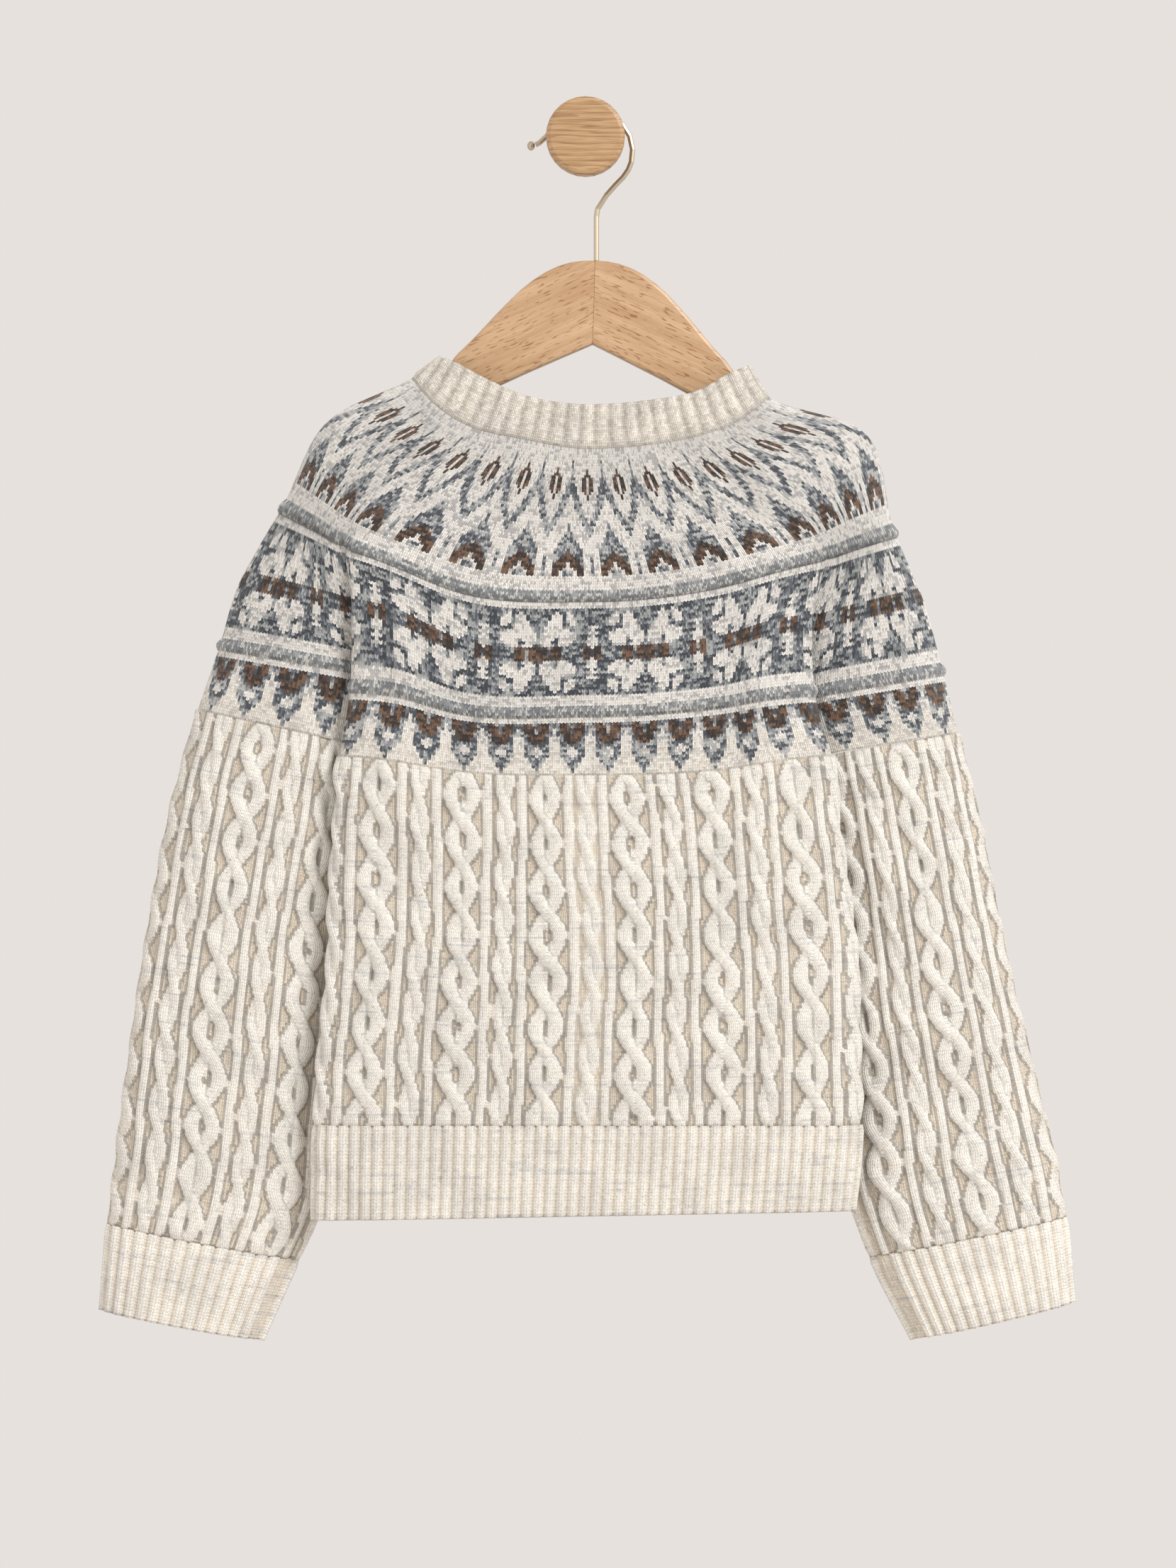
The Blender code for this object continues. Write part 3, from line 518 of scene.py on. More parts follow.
def wool(name, depth_mm, flecks):
    """Wool knitted into V-shaped stitches, each in its own yarn colour, with painted shade between them.
    The eye gets a matt, tweedy yarn with grey flecks and a soft halo. flecks are the stops of its heather."""
    material, tree, shader, place = new_material(name, 0.95)
    stitches = add_node(tree, "ShaderNodeUVMap", uv_map="Stitches").outputs[0]
    split = add_node(tree, "ShaderNodeSeparateXYZ", {0: stitches}).outputs
    fold = math_node(tree, "PINGPONG", split[0], 0.5)
    level = math_node(tree, "SUBTRACT", split[1], math_node(tree, "MULTIPLY", fold, 2 * SKEW))
    leg = wave(tree, split[0], 2 * math.pi)
    turn = wave(tree, level, math.pi)
    body = math_node(tree, "MULTIPLY", math_node(tree, "POWER", leg, 0.6),
                     math_node(tree, "POWER", turn, 0.4))
    fibre = add_node(tree, "ShaderNodeTexNoise", {"Vector": place, "Scale": 1500.0, "Detail": 3.0}).outputs[0]
    lumps = add_node(tree, "ShaderNodeTexNoise", {"Vector": place, "Scale": 330.0, "Detail": 2.0}).outputs[0]
    uneven = math_node(tree, "ADD", math_node(tree, "MULTIPLY", fibre, 0.6),
                       math_node(tree, "MULTIPLY", lumps, 0.8))
    height = math_node(tree, "ADD", body, uneven)
    bump = add_node(tree, "ShaderNodeBump", {"Strength": 0.8, "Distance": depth_mm * MM, "Height": height})
    tree.links.new(bump.outputs[0], shader.inputs["Normal"])
    fleck = add_node(tree, "ShaderNodeTexNoise", {"Vector": place, "Scale": 620.0, "Detail": 4.0,
                                                  "Roughness": 0.75}).outputs[0]
    cloud = add_node(tree, "ShaderNodeTexNoise", {"Vector": place, "Scale": 45.0, "Detail": 2.0}).outputs[0]
    color = add_node(tree, "ShaderNodeVertexColor", layer_name="Yarn").outputs["Color"]
    # Multiplied into the yarn colour: heather flecks, a soft random cloud, and painted shade in the gaps
    # between the stitches' legs.
    for fac, shade in ((0.85, ramp(tree, fleck, flecks)),
                       (0.5, ramp(tree, cloud, ((0.35, "#E2E2E4"), (0.6, "#FFFFFF")))),
                       (0.5, ramp(tree, body, ((0.0, "#BDB4A8"), (0.4, "#FFFFFF"))))):
        color = add_node(tree, "ShaderNodeMix", {0: fac, 6: color, 7: shade}, data_type="RGBA",
                         blend_type="MULTIPLY").outputs[2]
    tree.links.new(color, shader.inputs["Base Color"])
    shader.inputs["Sheen Weight"].default_value = 0.2
    shader.inputs["Sheen Roughness"].default_value = 0.6
    return material


# Shades of each yarn. The charts' letters, and i ivory for the collar, m marled for ridges.
YARNS = {
    "w": ("#EDEAE4", "#E4E0D9", "#F3F0EB", "#BFBDBA"),
    "i": ("#F2EBDF", "#ECE4D6", "#F5F0E7", "#DFD7CA"),
    "c": ("#F3EEE4", "#EBE4D8", "#F6F2EB", "#D8D3CA"),
    "g": ("#4A5058", "#6E747A", "#969A9D", "#BEBFBE"),
    "d": ("#3A4048", "#5C626A", "#81868A", "#ADB0AF"),
    "b": ("#30261F", "#453730", "#584539", "#7A5B45"),
    "m": ("#7B7F82", "#A4A6A6", "#CFCDC8", "#8F9395"),
}
OATMEAL = ((0.27, "#8A8884"), (0.37, "#ECEAE8"), (0.48, "#FFFFFF"))
TWEED = ((0.25, "#A8A8A8"), (0.4, "#F4F4F4"), (0.55, "#FFFFFF"))
OATMEAL_INSIDE = "#D9CFC0"
HEM_PAINTED_SHADE = 0.92        # painted shade: the hem's wool drawn darker than the cables' and the cuffs'
SKEW = 0.45             # how far a stitch's middle hangs below its edges, in rounds
STITCH_WIDE = 2.05
STITCH_HIGH = 1.9


def chart_rounds(chart):
    """The rounds of a chart, each word mirrored about its last stitch to a whole repeat."""
    return [line + line[-2:0:-1] for line in chart.split()]


def yarn_colors(rounds, stitches, offset, rng):
    """A colour for each leg of each stitch. The yarn runs along a round, so its streaks do."""
    picks = rng.random((len(rounds), stitches))
    picks = np.repeat(0.7 * picks + 0.3 * np.roll(picks, 1, axis=1), 2, axis=1)
    picks = np.clip((picks - 0.5) * 1.5 + 0.5 + rng.uniform(-0.3, 0.3, picks.shape), 0, 0.999)
    shades = np.zeros((len(rounds), 2 * stitches, 3))
    table = {key: np.array([linear(code) for code in codes]) for key, codes in YARNS.items()}
    for row, line in enumerate(rounds):
        keys = [line[(leg // 2 + offset) % len(line)] for leg in range(2 * stitches)]
        for leg, key in enumerate(keys):
            shades[row, leg] = table[key][int(picks[row, leg] * 4)]
    return shades * rng.uniform(0.93, 1.05, (len(rounds), 2 * stitches, 1))


def yoke_rounds(downs, stitches):
    """Rounds of stitch corners below the neck seam. Corners inside a stitch hang lower."""
    places = (np.arange(2 * stitches) / 2 - 0.5) / stitches * REPEATS
    rings = np.array([ring_at(down, list(places % REPEATS)) for down in downs])
    lower = rings[:-1] + SKEW * np.diff(rings, axis=0)
    rings[1:-1, 1::2] = lower[1:, 1::2]
    course = np.repeat(np.arange(len(downs), dtype=float)[:, None], 2 * stitches + 1, axis=1)
    course[1:-1, 1::2] += SKEW
    wale = np.tile(np.arange(2 * stitches + 1) / 2, (len(downs), 1))
    return rings, course, wale


def sway(place, link):
    """A little unevenness in how the cables run."""
    return 0.02 * np.sin(1.1 * link + 2.3 * np.round(place)) + 0.008 * np.sin(3.7 * link + place)


def dome(offset, half):
    return np.sqrt(np.clip(1 - (offset / half)**2, 0, 1))


def cable_relief(place, link, wide):
    """Height of the cables at places in repeats and links, and the stitches across there."""
    wool_settings = bpy.context.scene.sweater_wool
    chain_high = wool_settings.chain_high / MM
    rope_high = wool_settings.rope_high / MM
    chain = place - np.floor(place) - 0.5
    rope = (place + 0.5) % 1 - 0.5
    swing = 0.118 * np.sin(np.pi * link)
    twist = 0.058 * np.sin(np.pi * (link + 0.35))
    lift = 0.9 * np.cos(np.pi * link)
    tilt = 1.0 * np.cos(np.pi * (link + 0.35))
    parts = [
        (chain - swing, 0.098, chain_high + lift),
        (chain + swing, 0.098, chain_high - lift),
        (rope - twist, 0.07, rope_high + tilt),
        (rope + twist, 0.07, rope_high - tilt),
        (np.abs(rope) - 0.209, 0.062, rope_high),
    ]
    height = np.zeros_like(place)
    wale = place * wide / STITCH_WIDE
    for offset, half, high in parts:
        here = high * dome(offset, half)
        wale = np.where(here > height, offset * wide / STITCH_WIDE, wale)
        height = np.maximum(height, here)
    return height, wale


def face_heights(height):
    """The mean relief of each face, from its four corners."""
    return (height[:-1, :-1] + height[1:, :-1] + height[:-1, 1:] + height[1:, 1:]) / 4


def painted_rib_shade(height, least):
    """Painted shade: how much of its colour each face keeps, down to least where it lies deep between ribs.
    """
    faces = face_heights(height)
    return least + (1 - least) * np.clip(faces / height.max() * 1.6, 0, 1)[:, :, None]


def joined(height, downs, top, bottom):
    """The relief, sinking to a low edge near the top or the bottom where pieces join."""
    for wanted, distance in ((top, downs - downs[0]), (bottom, downs[-1] - downs)):
        if wanted:
            low = np.clip(distance / JOINT_EASE, 0, 1)[:, None]
            height = height * low + np.minimum(height, JOINT_HIGH) * (1 - low)
    return height


STREAK = 15             # length of a heather streak, in faces
GREYED = (0.15, 0.13, 0.09)


def cable_yarn(height, rng):
    """Each face's wool: cream on the cables, tan where they shade the ground between them."""
    faces = face_heights(height)
    high = np.clip(faces / 1.7, 0, 1)[:, :, None]
    wool_settings = bpy.context.scene.sweater_wool
    mixed = np.array(wool_settings.ground) * (1 - high) + np.array(wool_settings.cream) * high
    # Heather: streaks of grey fibre, which run along the rounds
    noise = rng.random(faces.shape)
    run = sum(np.roll(noise, step, axis=1) for step in range(STREAK)) / STREAK
    streak = np.clip((run - 0.5) / (0.29 / STREAK**0.5) - 0.9, 0, 1.2)[:, :, None]
    return mixed * (1 - streak * np.array(GREYED)) * rng.uniform(0.9, 1.04, (*faces.shape, 1))


def add_collar():
    count = COLLAR_RIBS * COLLAR_RIB_FACES
    downs = np.linspace(COURSES[0].down, 0, 18)
    plain = np.array([even_ring(down, count) for down in downs])
    rib = np.tile(np.arange(count + 1) / COLLAR_RIB_FACES, (len(downs), 1))
    rib_high = bpy.context.scene.sweater_wool.collar_high / MM
    height = rib_high * (0.5 + 0.5 * np.cos(2 * np.pi * rib))**0.7 * np.clip(-downs / 5, 0, 1)[:, None]
    course = np.repeat(np.arange(len(downs), dtype=float)[:, None], count + 1, axis=1)
    rng = np.random.default_rng(3)
    # The collar's colours are darkened between the ribs, as painted shade.
    yarn = yarn_colors(["i"] * (len(downs) - 1), count // 2, 0, rng) * painted_rib_shade(height, 0.66)
    collar = knit_tube("neck_rib_knit", plain, height[:, :-1], 4 * rib, course, yarn, linear("#D8D2C6"),
                       wool("Ivory wool rib", 0.6, TWEED))
    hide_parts("neck_rib")


def purl_ridge(plain, first):
    """The relief of a part of the yoke: none, but for a knobbly purl ridge from its first round."""
    raised = np.zeros(plain.shape[:2])
    knobs = 0.8 + 0.2 * (np.arange(plain.shape[1]) % 2)
    raised[first:first + len(RIDGE_HIGH)] = np.array(RIDGE_HIGH)[:, None] * knobs
    return raised


def add_yoke():
    material = wool("Stranded colourwork wool", 0.6, TWEED)
    rng = np.random.default_rng(7)
    stitches = UPPER_STITCHES
    downs = np.concatenate([np.linspace(0, 83.4, 51), [85.2, 87, 88.8, 90.5]])
    plain, course, wale = yoke_rounds(downs, stitches)
    raised = purl_ridge(plain, 51)
    rounds = chart_rounds(LOZENGE_AND_PEAK) + ["m"] * 4
    upper = knit_tube("yoke_upper", plain, raised, wale, course, yarn_colors(rounds, stitches, 0, rng),
                      linear("#B9B5AE"), material)
    stitches = LOWER_STITCHES
    downs = np.concatenate([np.linspace(90.6, 151.4, 38), [153.2, 155, 156.8, 158.6],
                            np.linspace(158.6, 195, 23)[1:]])
    plain, course, wale = yoke_rounds(downs, stitches)
    raised = purl_ridge(plain, 38)
    star = chart_rounds(STAR)
    star = ["w"] * 2 + star + chart_rounds(STAR_MIDDLE) + star[::-1] + ["w"] * 4
    shades = np.concatenate([yarn_colors(star, stitches, 15, rng),
                             yarn_colors(["m"] * 4 + ["w"] * 2 + chart_rounds(TEETH), stitches, 5, rng)])
    lower = knit_tube("yoke_lower", plain, raised, wale, course, shades, linear("#A9A7A3"), material)
    for piece in (upper, lower):
        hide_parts("yoke")


def add_body():
    count = BODY_PERIODS * PERIOD_FACES
    panel = BODY_PERIODS / 2
    downs = np.linspace(0, BODY_ROWS[0].z - HEM_TOP_Z, 151)
    plain = np.array([body_ring(BODY_ROWS[0].z - down, count // 2) for down in downs])
    place = np.tile(np.arange(count + 1) / PERIOD_FACES - panel / 2, (len(downs), 1))
    link = np.repeat(downs[:, None] / LINK_HIGH, count + 1, axis=1)
    height, wale = cable_relief(place + sway(place, link), link, BODY_PERIOD_WIDE)
    from_middle = np.abs((place + panel / 2) % panel - panel / 2)
    fade = np.clip((panel / 2 - from_middle) / 0.15, 0, 1)
    height = joined(height * fade, downs, True, True)
    course = np.repeat(downs[:, None] / STITCH_HIGH, count + 1, axis=1)
    rng = np.random.default_rng(11)
    body = knit_tube("body_cables", plain, height[:, :-1], wale, course, cable_yarn(height, rng),
                     linear(OATMEAL_INSIDE), wool("Oatmeal heather cable knit", 0.6, OATMEAL))
    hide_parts("body_back", "body_front")
    count = HEM_RIBS * RIB_FACES
    downs = np.linspace(BODY_ROWS[0].z - HEM_TOP_Z, BODY_ROWS[0].z - HEM_Z, 27)
    plain = np.array([body_ring(BODY_ROWS[0].z - down, count // 2) for down in downs])
    rib = np.tile(np.arange(count + 1) / RIB_FACES, (len(downs), 1))
    rib_high = bpy.context.scene.sweater_wool.rib_high / MM
    height = joined(rib_high * np.abs(np.cos(np.pi * rib))**0.8, downs, True, False)
    course = np.repeat(downs[:, None] / STITCH_HIGH, count + 1, axis=1)
    # The hem's wool is drawn darker, as painted shade.
    hem = knit_tube("hem_ribs", plain, height[:, :-1], 2 * rib + 0.5, course,
                    HEM_PAINTED_SHADE * cable_yarn(height, rng), linear(OATMEAL_INSIDE),
                    wool("Oatmeal heather hem rib", 0.5, OATMEAL))
    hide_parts("hem_back", "hem_front")


def add_sleeve(side, table, right):
    count = SLEEVE_PERIODS * PERIOD_FACES
    cuff_down = table[-1].down - CUFF_HIGH
    downs = np.linspace(0, cuff_down, 1 + round(cuff_down / 1.45))
    across = np.arange(count) / count
    plain = sleeve_grid(table, downs, [across] * len(downs), right)
    place = np.tile(np.arange(count + 1) / PERIOD_FACES, (len(downs), 1))
    link = np.repeat(downs[:, None] / LINK_HIGH, count + 1, axis=1)
    height, wale = cable_relief(place + sway(place, link), link, SLEEVE_PERIOD_WIDE)
    from_fold = np.minimum(place, SLEEVE_PERIODS - place)
    fade = np.clip((from_fold - 0.15) / 0.05, 0, 1)
    fade = fade * (1 - 0.6 * np.exp(-((place - SLEEVE_PERIODS / 2) / 0.22)**2))
    height = joined(np.maximum(height * fade, 2.0 * dome(from_fold, 0.09)), downs, True, True)
    course = np.repeat(downs[:, None] / STITCH_HIGH, count + 1, axis=1)
    rng = np.random.default_rng(13)
    material = wool("Oatmeal heather sleeve knit " + side, 0.6, OATMEAL)
    sleeve = knit_tube("sleeve_cables_" + side, plain, height[:, :-1], wale, course, cable_yarn(height, rng),
                       linear(OATMEAL_INSIDE), material)
    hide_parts("sleeve_" + side)
    count = CUFF_RIBS * RIB_FACES
    downs = np.linspace(cuff_down, table[-1].down, 27)
    plain = sleeve_grid(table, downs, [np.arange(count) / count] * len(downs), right)
    rib = np.tile(np.arange(count + 1) / RIB_FACES, (len(downs), 1))
    channel = np.clip(np.abs(np.minimum(rib, CUFF_RIBS - rib) - 1) / 0.6, 0.15, 1)
    rib_high = bpy.context.scene.sweater_wool.rib_high / MM
    height = joined(rib_high * np.abs(np.cos(np.pi * rib))**0.8 * channel, downs, True, False)
    course = np.repeat(downs[:, None] / STITCH_HIGH, count + 1, axis=1)
    cuff = knit_tube("cuff_ribs_" + side, plain, height[:, :-1], 2 * rib + 0.5, course,
                     cable_yarn(height, rng), linear(OATMEAL_INSIDE), material)
    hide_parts("cuff_" + side)


Fuzz = namedtuple("Fuzz", "count longest slot")
FUZZ = {
    "neck_rib_knit": Fuzz(700, 2.5, "ivory_rib"),
    "yoke_upper": Fuzz(2200, 3.2, "stranded_wool"),
    "yoke_lower": Fuzz(2600, 3.5, "stranded_wool"),
    "body_cables": Fuzz(4200, 4.2, "cable_knit"),
    "hem_ribs": Fuzz(1200, 3.5, "ribbing"),
    "sleeve_cables_left": Fuzz(2400, 4.2, "cable_knit"),
    "sleeve_cables_right": Fuzz(2400, 4.2, "cable_knit"),
    "cuff_ribs_left": Fuzz(600, 3.5, "ribbing"),
    "cuff_ribs_right": Fuzz(600, 3.5, "ribbing"),
}
HAIR_RADIUS = 0.055
HAIRS_APART = 4.0       # radii, while the spikes stand side by side
WALL_CLEAR = -1.0       # no fibre reaches nearer to the wall
HANGER_X = 5.7
HANGER_TILT = math.radians(1.7)
HANGER_THICK = 11.0
MITRE_TOP = -71.0
MITRE_HIGH = 49.2
GRAIN_LEAN = 0.42       # radians, the grain of each arm against level


def hair_mesh(name, count):
    """A mesh of that many unit spikes side by side, and each point's own place and spike."""
    bm = bmesh.new()
    bmesh.ops.create_cone(bm, cap_ends=True, cap_tris=False, segments=3, radius1=1.0, radius2=0.3, depth=1.0)
    made = 1
    while made < count:
        copied = bmesh.ops.duplicate(bm, geom=bm.verts[:] + bm.edges[:] + bm.faces[:])["geom"]
        verts = [item for item in copied if isinstance(item, bmesh.types.BMVert)]
        bmesh.ops.translate(bm, vec=(made * HAIRS_APART, 0, 0), verts=verts)
        made *= 2
    spare = [vert for vert in bm.verts if vert.co.x > (count - 0.5) * HAIRS_APART]
    bmesh.ops.delete(bm, geom=spare, context="VERTS")
    mesh = mesh_of(name, bm)
    points = np.zeros(len(mesh.vertices) * 3)
    mesh.vertices.foreach_get("co", points)
    points = points.reshape(-1, 3)
    spike = np.round(points[:, 0] / HAIRS_APART).astype(int)
    points[:, 0] -= spike * HAIRS_APART
    return mesh, points, spike


def add_fuzz():
    """Loose wool fibres that stand up from the brushed cloth, one piece for each tube."""
    rng = np.random.default_rng(17)
    # Carded wool, loosely spun. The eye gets a pale halo of fine matt fibres.
    wool_settings = bpy.context.scene.sweater_wool
    material = plain_material("Loose wool fibres", 0.9, wool_settings.fibre)
    for name, fuzz in FUZZ.items():
        cloth = bpy.data.objects[name]
        mesh, points, spike = hair_mesh(name + "_fuzz", fuzz.count)
        turns = np.zeros((fuzz.count, 3, 3))
        roots = np.zeros((fuzz.count, 3))
        for hair, index in enumerate(rng.integers(0, cloth["outside_faces"], fuzz.count)):
            face = cloth.data.polygons[int(index)]
            lean = (face.normal * 1.2 + Vector(rng.normal(0, 1.1, 3))).normalized()
            if lean.dot(face.normal) < 0.15:
                lean = face.normal.copy()
            long = rng.uniform(0.35, 1.0) * fuzz.longest * MM * wool_settings.fibre_share
            size = np.array([HAIR_RADIUS * MM, HAIR_RADIUS * MM, long])
            turns[hair] = np.array(lean.to_track_quat("Z", "Y").to_matrix()) * size
            roots[hair] = face.center + lean * long * 0.45
        points = np.einsum("nij,nj->ni", turns[spike], points) + roots[spike]
        points[:, 1] = np.minimum(points[:, 1], WALL_CLEAR * MM)
        mesh.vertices.foreach_set("co", points.ravel())
        mesh.update()
        mesh.materials.append(material)
        hairs = placed(name + "_fuzz", mesh)
        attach(hairs, "root")


def grain(tree, place, lean, size_mm, detail):
    """Noise stretched along the grain, which is leant by an angle across the arm."""
    turned = add_node(tree, "ShaderNodeMapping",
                      {"Vector": place, "Rotation": (0.0, lean, 0.0),
                       "Scale": [size * MM for size in size_mm]}, vector_type="TEXTURE").outputs[0]
    return add_node(tree, "ShaderNodeTexNoise", {"Vector": turned, "Scale": 1.0, "Detail": detail}).outputs[0]


def beech(name, lean):
    """Beech, planed and lacquered satin. The eye gets a smooth pinkish tan with soft bands and
    short dark flecks along the grain, drawn about twice as coarse as real rays to show."""
    material, tree, shader, place = new_material(name, 0.45)
    finish = bpy.context.scene.sweater_hanger
    bands = ramp(tree, grain(tree, place, lean, (70, 12, 8), 2.0),
                 ((0.35, finish.beech_dark), (0.65, finish.beech_pale)))
    flecks = ramp(tree, grain(tree, place, lean, (5.5, 2.0, 0.9), 0.0),
                  ((0.26, "#CDB8A2"), (0.36, "#FFFFFF")))
    fibres = ramp(tree, grain(tree, place, lean, (30, 1.2, 0.9), 2.0), ((0.3, "#F0E9E1"), (0.6, "#FFFFFF")))
    color = bands
    for shade in (flecks, fibres):
        color = add_node(tree, "ShaderNodeMix", {0: 1.0, 6: color, 7: shade}, data_type="RGBA",
                         blend_type="MULTIPLY").outputs[2]
    tree.links.new(color, shader.inputs["Base Color"])
    shader.inputs["Coat Weight"].default_value = 0.2
    shader.inputs["Coat Roughness"].default_value = 0.3
    return material


def pine():
    """Pine, sawn and oiled. The eye gets pale early wood crossed by thin darker lines of late
    wood, about 2.5 mm apart, each sharp below and fading above."""
    material, tree, shader, place = new_material("Oiled pine", 0.5)
    height = add_node(tree, "ShaderNodeSeparateXYZ", {0: place}).outputs[2]
    wander = grain(tree, place, 0.0, (60, 60, 5), 2.0)
    rings = math_node(tree, "ADD", math_node(tree, "MULTIPLY", height, 1000 / 3.4),
                      math_node(tree, "MULTIPLY", wander, 3.0))
    ring = math_node(tree, "FRACT", rings)
    late = ramp(tree, ring, ((0.0, "#9A7550"), (0.22, "#B08C64"), (0.6, "#BE9C74"), (0.93, "#B8956C"),
                             (1.0, "#9A7550")))
    fibres = ramp(tree, grain(tree, place, 0.0, (18, 1.0, 0.7), 2.0), ((0.3, "#DDD2C4"), (0.6, "#FFFFFF")))
    color = add_node(tree, "ShaderNodeMix", {0: 1.0, 6: late, 7: fibres}, data_type="RGBA",
                     blend_type="MULTIPLY").outputs[2]
    tree.links.new(color, shader.inputs["Base Color"])
    bump = add_node(tree, "ShaderNodeBump", {"Strength": 0.3, "Distance": 0.0003, "Height": ring})
    tree.links.new(bump.outputs[0], shader.inputs["Normal"])
    shader.inputs["Coat Weight"].default_value = 0.05
    return material


def dress_hanger():
    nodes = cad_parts
    for side, lean in (("left", -GRAIN_LEAN), ("right", GRAIN_LEAN)):
        nodes["hanger_arm_" + side].material_slots[0].material = beech("Satin beech " + side, lean)
    # Drawn wire, brushed and nickel plated. The eye gets a soft, warm grey gleam along it.
    nickel = plain_material("Brushed nickel wire", 0.42, bpy.context.scene.sweater_hanger.nickel, 1.0)
    for name in ("hanger_hook", "hook_tip"):
        nodes[name].material_slots[0].material = nickel
    nodes["wall_peg"].material_slots[0].material = pine()
    # Dried wood glue. The eye gets a thin brown line down the mitre.
    glue = plain_material("Dried wood glue", 0.6, linear("#94704C"))
    bm = bmesh.new()
    bmesh.ops.create_cube(bm, size=MM)
    bmesh.ops.scale(bm, vec=(0.36, HANGER_THICK - 0.2, MITRE_HIGH), verts=bm.verts)
    bmesh.ops.translate(bm, vec=(0, 0, -(MITRE_HIGH / 2 + 0.3) * MM), verts=bm.verts)
    bmesh.ops.rotate(bm, cent=(0, 0, 0), matrix=Matrix.Rotation(HANGER_TILT, 3, "Y"), verts=bm.verts)
    bmesh.ops.translate(bm, vec=(HANGER_X * MM, HANG_Y * MM, MITRE_TOP * MM), verts=bm.verts)
    mesh = mesh_of("mitre_glue_line", bm)
    mesh.materials.append(glue)
    line = placed("mitre_glue_line", mesh)
    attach(line, "root")


CAMERA_PLACE = (0.0015, -3.045, -0.3822)


def add_stage():
    scene = bpy.context.scene
    settings = scene.sweater_stage
    bm = bmesh.new()
    bmesh.ops.create_grid(bm, x_segments=4, y_segments=4, size=1.0)
    bmesh.ops.translate(bm, vec=(0, -0.5, -1.1), verts=bm.verts)
    mesh = mesh_of("studio_floor", bm)
    mesh.materials.append(plain_material("Pale matt floor", 0.9, linear("#E4DFDA")))
    placed("studio_floor", mesh)
    world = bpy.data.worlds.new("Studio")
    world.use_nodes = True
    sky = world.node_tree.nodes["Background"]
    sky.inputs["Color"].default_value = (*linear("#E6E1DD"), 1)
    sky.inputs["Strength"].default_value = settings.sky_strength
    scene.world = world
    for name, place, turn, size, power in (
            ("Key", (1.6, -2.0, 1.3), (60, 0, 38), 0.9, settings.key_power),
            ("Fill", (-1.8, -2.2, 0.3), (80, 0, -40), 1.6, settings.fill_power)):
        light = bpy.data.lights.new(name, "AREA")
        light.size = size
        light.energy = power
        lamp = placed(name, light)
        lamp.location = place
        lamp.rotation_euler = [math.radians(angle) for angle in turn]
    camera = bpy.data.cameras.new("Camera")
    camera.sensor_fit = "VERTICAL"
    camera.sensor_height = 36
    camera.lens = settings.camera_lens
    viewer = placed("Camera", camera)
    viewer.location = CAMERA_PLACE
    viewer.rotation_euler = (math.pi / 2, 0, 0)
    scene.camera = viewer
    scene.view_settings.view_transform = "Standard"


class SweaterStage(bpy.types.PropertyGroup):
    """The studio's light and camera"""
    sky_strength: bpy.props.FloatProperty(
        name="Room light", description="Strength of the even light all round", default=1.0, min=0)
    key_power: bpy.props.FloatProperty(
        name="Key light", description="Power of the main light, from the upper right",
        default=55, min=0, unit="POWER")
    fill_power: bpy.props.FloatProperty(
        name="Fill light", description="Power of the soft light from the left",
        default=6, min=0, unit="POWER")
    camera_lens: bpy.props.FloatProperty(
        name="Lens", description="Focal length", default=116.3, min=20, subtype="DISTANCE_CAMERA")


def color_setting(name, description, code):
    return bpy.props.FloatVectorProperty(name=name, description=description, subtype="COLOR", size=3,
                                         default=linear(code), min=0, max=1)


def size_setting(name, description, millimetres):
    return bpy.props.FloatProperty(name=name, description=description, default=millimetres * MM, min=0,
                                   precision=4, unit="LENGTH")


class SweaterWool(bpy.types.PropertyGroup):
    """How high the knitting stands, and the colours of the plain wool"""
    chain_high: size_setting("Chain cables", "Mean height of the chain cables over the ground", 3.1)
    rope_high: size_setting("Ropes", "Mean height of the narrow ropes and ribs between them", 2.3)
    collar_high: size_setting("Collar ribs", "Height of the collar's ribs", 1.9)
    rib_high: size_setting("Hem and cuff ribs", "Height of the ribs of the hem and the cuffs", 2.3)
    fibre_share: bpy.props.FloatProperty(
        name="Loose fibres", description="Length of the loose fibres against the table's",
        default=1.0, min=0, max=2, subtype="FACTOR")
    cream: color_setting("Cables", "Wool on the cables and ribs", "#FCF8EF")
    ground: color_setting("Ground", "Wool between the cables, in their shade", "#E6DAC7")
    fibre: color_setting("Fibres", "The loose fibres' wool", "#EFE9DF")


class SweaterHanger(bpy.types.PropertyGroup):
    """The hanger's finish"""
    beech_pale: color_setting("Pale beech", "The beech's early wood", "#C9A883")
    beech_dark: color_setting("Dark beech", "The beech's late wood", "#B8936D")
    nickel: color_setting("Hook", "The nickel of the hook", "#C6B9A4")


class SWEATER_OT_collar(bpy.types.Operator):
    """Knits the ribbed collar"""
    bl_idname = "sweater.collar"
    bl_label = "Collar"

    def execute(self, context):
        add_collar()
        return {"FINISHED"}


class SWEATER_OT_yoke(bpy.types.Operator):
    """Knits the colourwork yoke"""
    bl_idname = "sweater.yoke"
    bl_label = "Yoke"

    def execute(self, context):
        add_yoke()
        return {"FINISHED"}


class SWEATER_OT_body(bpy.types.Operator):
    """Knits the cabled body and its hem"""
    bl_idname = "sweater.body"
    bl_label = "Body"

    def execute(self, context):
        add_body()
        return {"FINISHED"}


class SWEATER_OT_sleeves(bpy.types.Operator):
    """Knits the two sleeves and their cuffs"""
    bl_idname = "sweater.sleeves"
    bl_label = "Sleeves"

    def execute(self, context):
        add_sleeve("left", LEFT_SLEEVE, False)
        add_sleeve("right", RIGHT_SLEEVE, True)
        return {"FINISHED"}


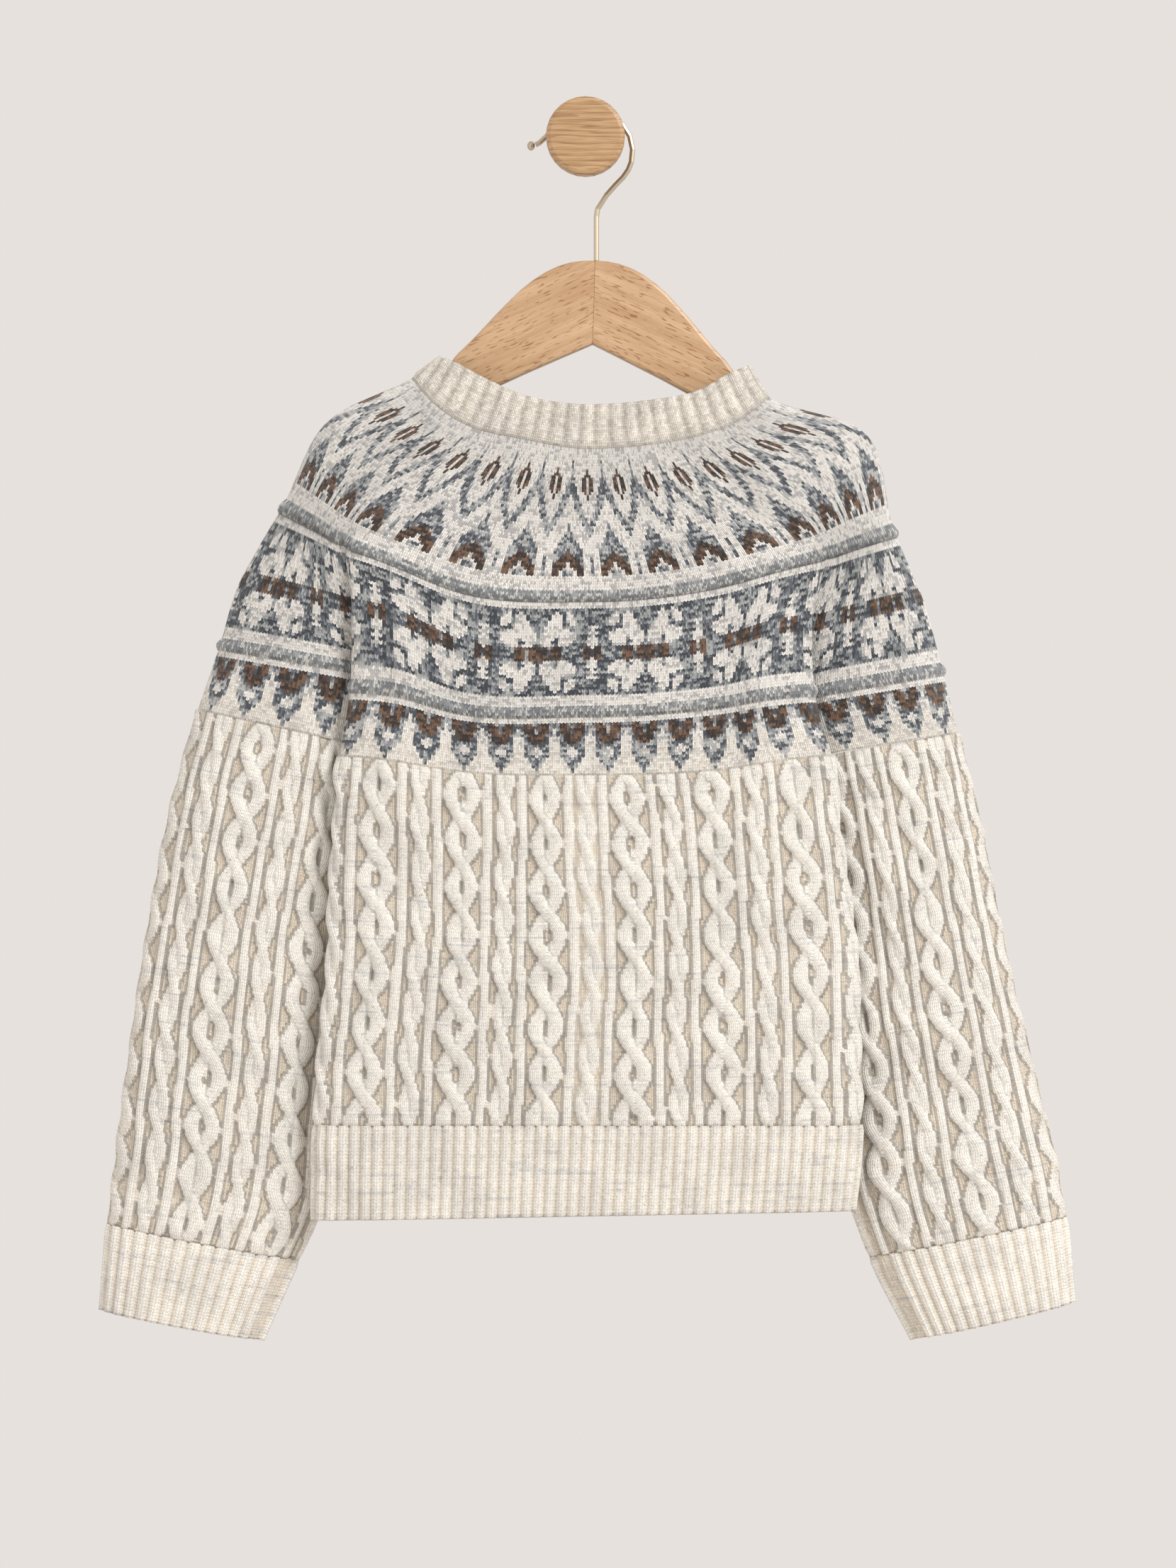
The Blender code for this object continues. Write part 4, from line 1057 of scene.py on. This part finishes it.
class SWEATER_OT_fuzz(bpy.types.Operator):
    """Brushes up loose fibres on the cloth"""
    bl_idname = "sweater.fuzz"
    bl_label = "Fuzz"

    def execute(self, context):
        add_fuzz()
        return {"FINISHED"}


class SWEATER_OT_hanger(bpy.types.Operator):
    """Finishes the hanger, its hook and the peg"""
    bl_idname = "sweater.hanger"
    bl_label = "Hanger and peg"

    def execute(self, context):
        dress_hanger()
        return {"FINISHED"}


class SWEATER_OT_stage(bpy.types.Operator):
    """Sets the floor, the light and the camera"""
    bl_idname = "sweater.stage"
    bl_label = "Stage"

    def execute(self, context):
        add_stage()
        return {"FINISHED"}


class SWEATER_PT_panel(bpy.types.Panel):
    """Lists the sweater's pieces"""
    bl_label = "Sweater"
    bl_idname = "SWEATER_PT_panel"
    bl_space_type = "VIEW_3D"
    bl_region_type = "UI"
    bl_category = "Sweater"

    def draw(self, context):
        scene = context.scene
        for settings in (scene.sweater_stage, scene.sweater_wool, scene.sweater_hanger):
            for key in settings.__annotations__:
                self.layout.prop(settings, key)
        for operator in OPERATORS:
            self.layout.operator(operator.bl_idname)


OPERATORS = (SWEATER_OT_stage, SWEATER_OT_collar, SWEATER_OT_yoke, SWEATER_OT_body, SWEATER_OT_sleeves,
             SWEATER_OT_fuzz, SWEATER_OT_hanger)
CLASSES = (SweaterStage, SweaterWool, SweaterHanger, *OPERATORS, SWEATER_PT_panel)


def register():
    for cls in CLASSES:
        bpy.utils.register_class(cls)
    bpy.types.Scene.sweater_stage = bpy.props.PointerProperty(type=SweaterStage)
    bpy.types.Scene.sweater_wool = bpy.props.PointerProperty(type=SweaterWool)
    bpy.types.Scene.sweater_hanger = bpy.props.PointerProperty(type=SweaterHanger)


def unregister():
    del bpy.types.Scene.sweater_hanger
    del bpy.types.Scene.sweater_wool
    del bpy.types.Scene.sweater_stage
    for cls in reversed(CLASSES):
        bpy.utils.unregister_class(cls)


def main():
    register()
    bpy.ops.sweater.stage()
    bpy.ops.sweater.collar()
    bpy.ops.sweater.yoke()
    bpy.ops.sweater.body()
    bpy.ops.sweater.sleeves()
    bpy.ops.sweater.fuzz()
    bpy.ops.sweater.hanger()


if __name__ == "__main__":
    main()
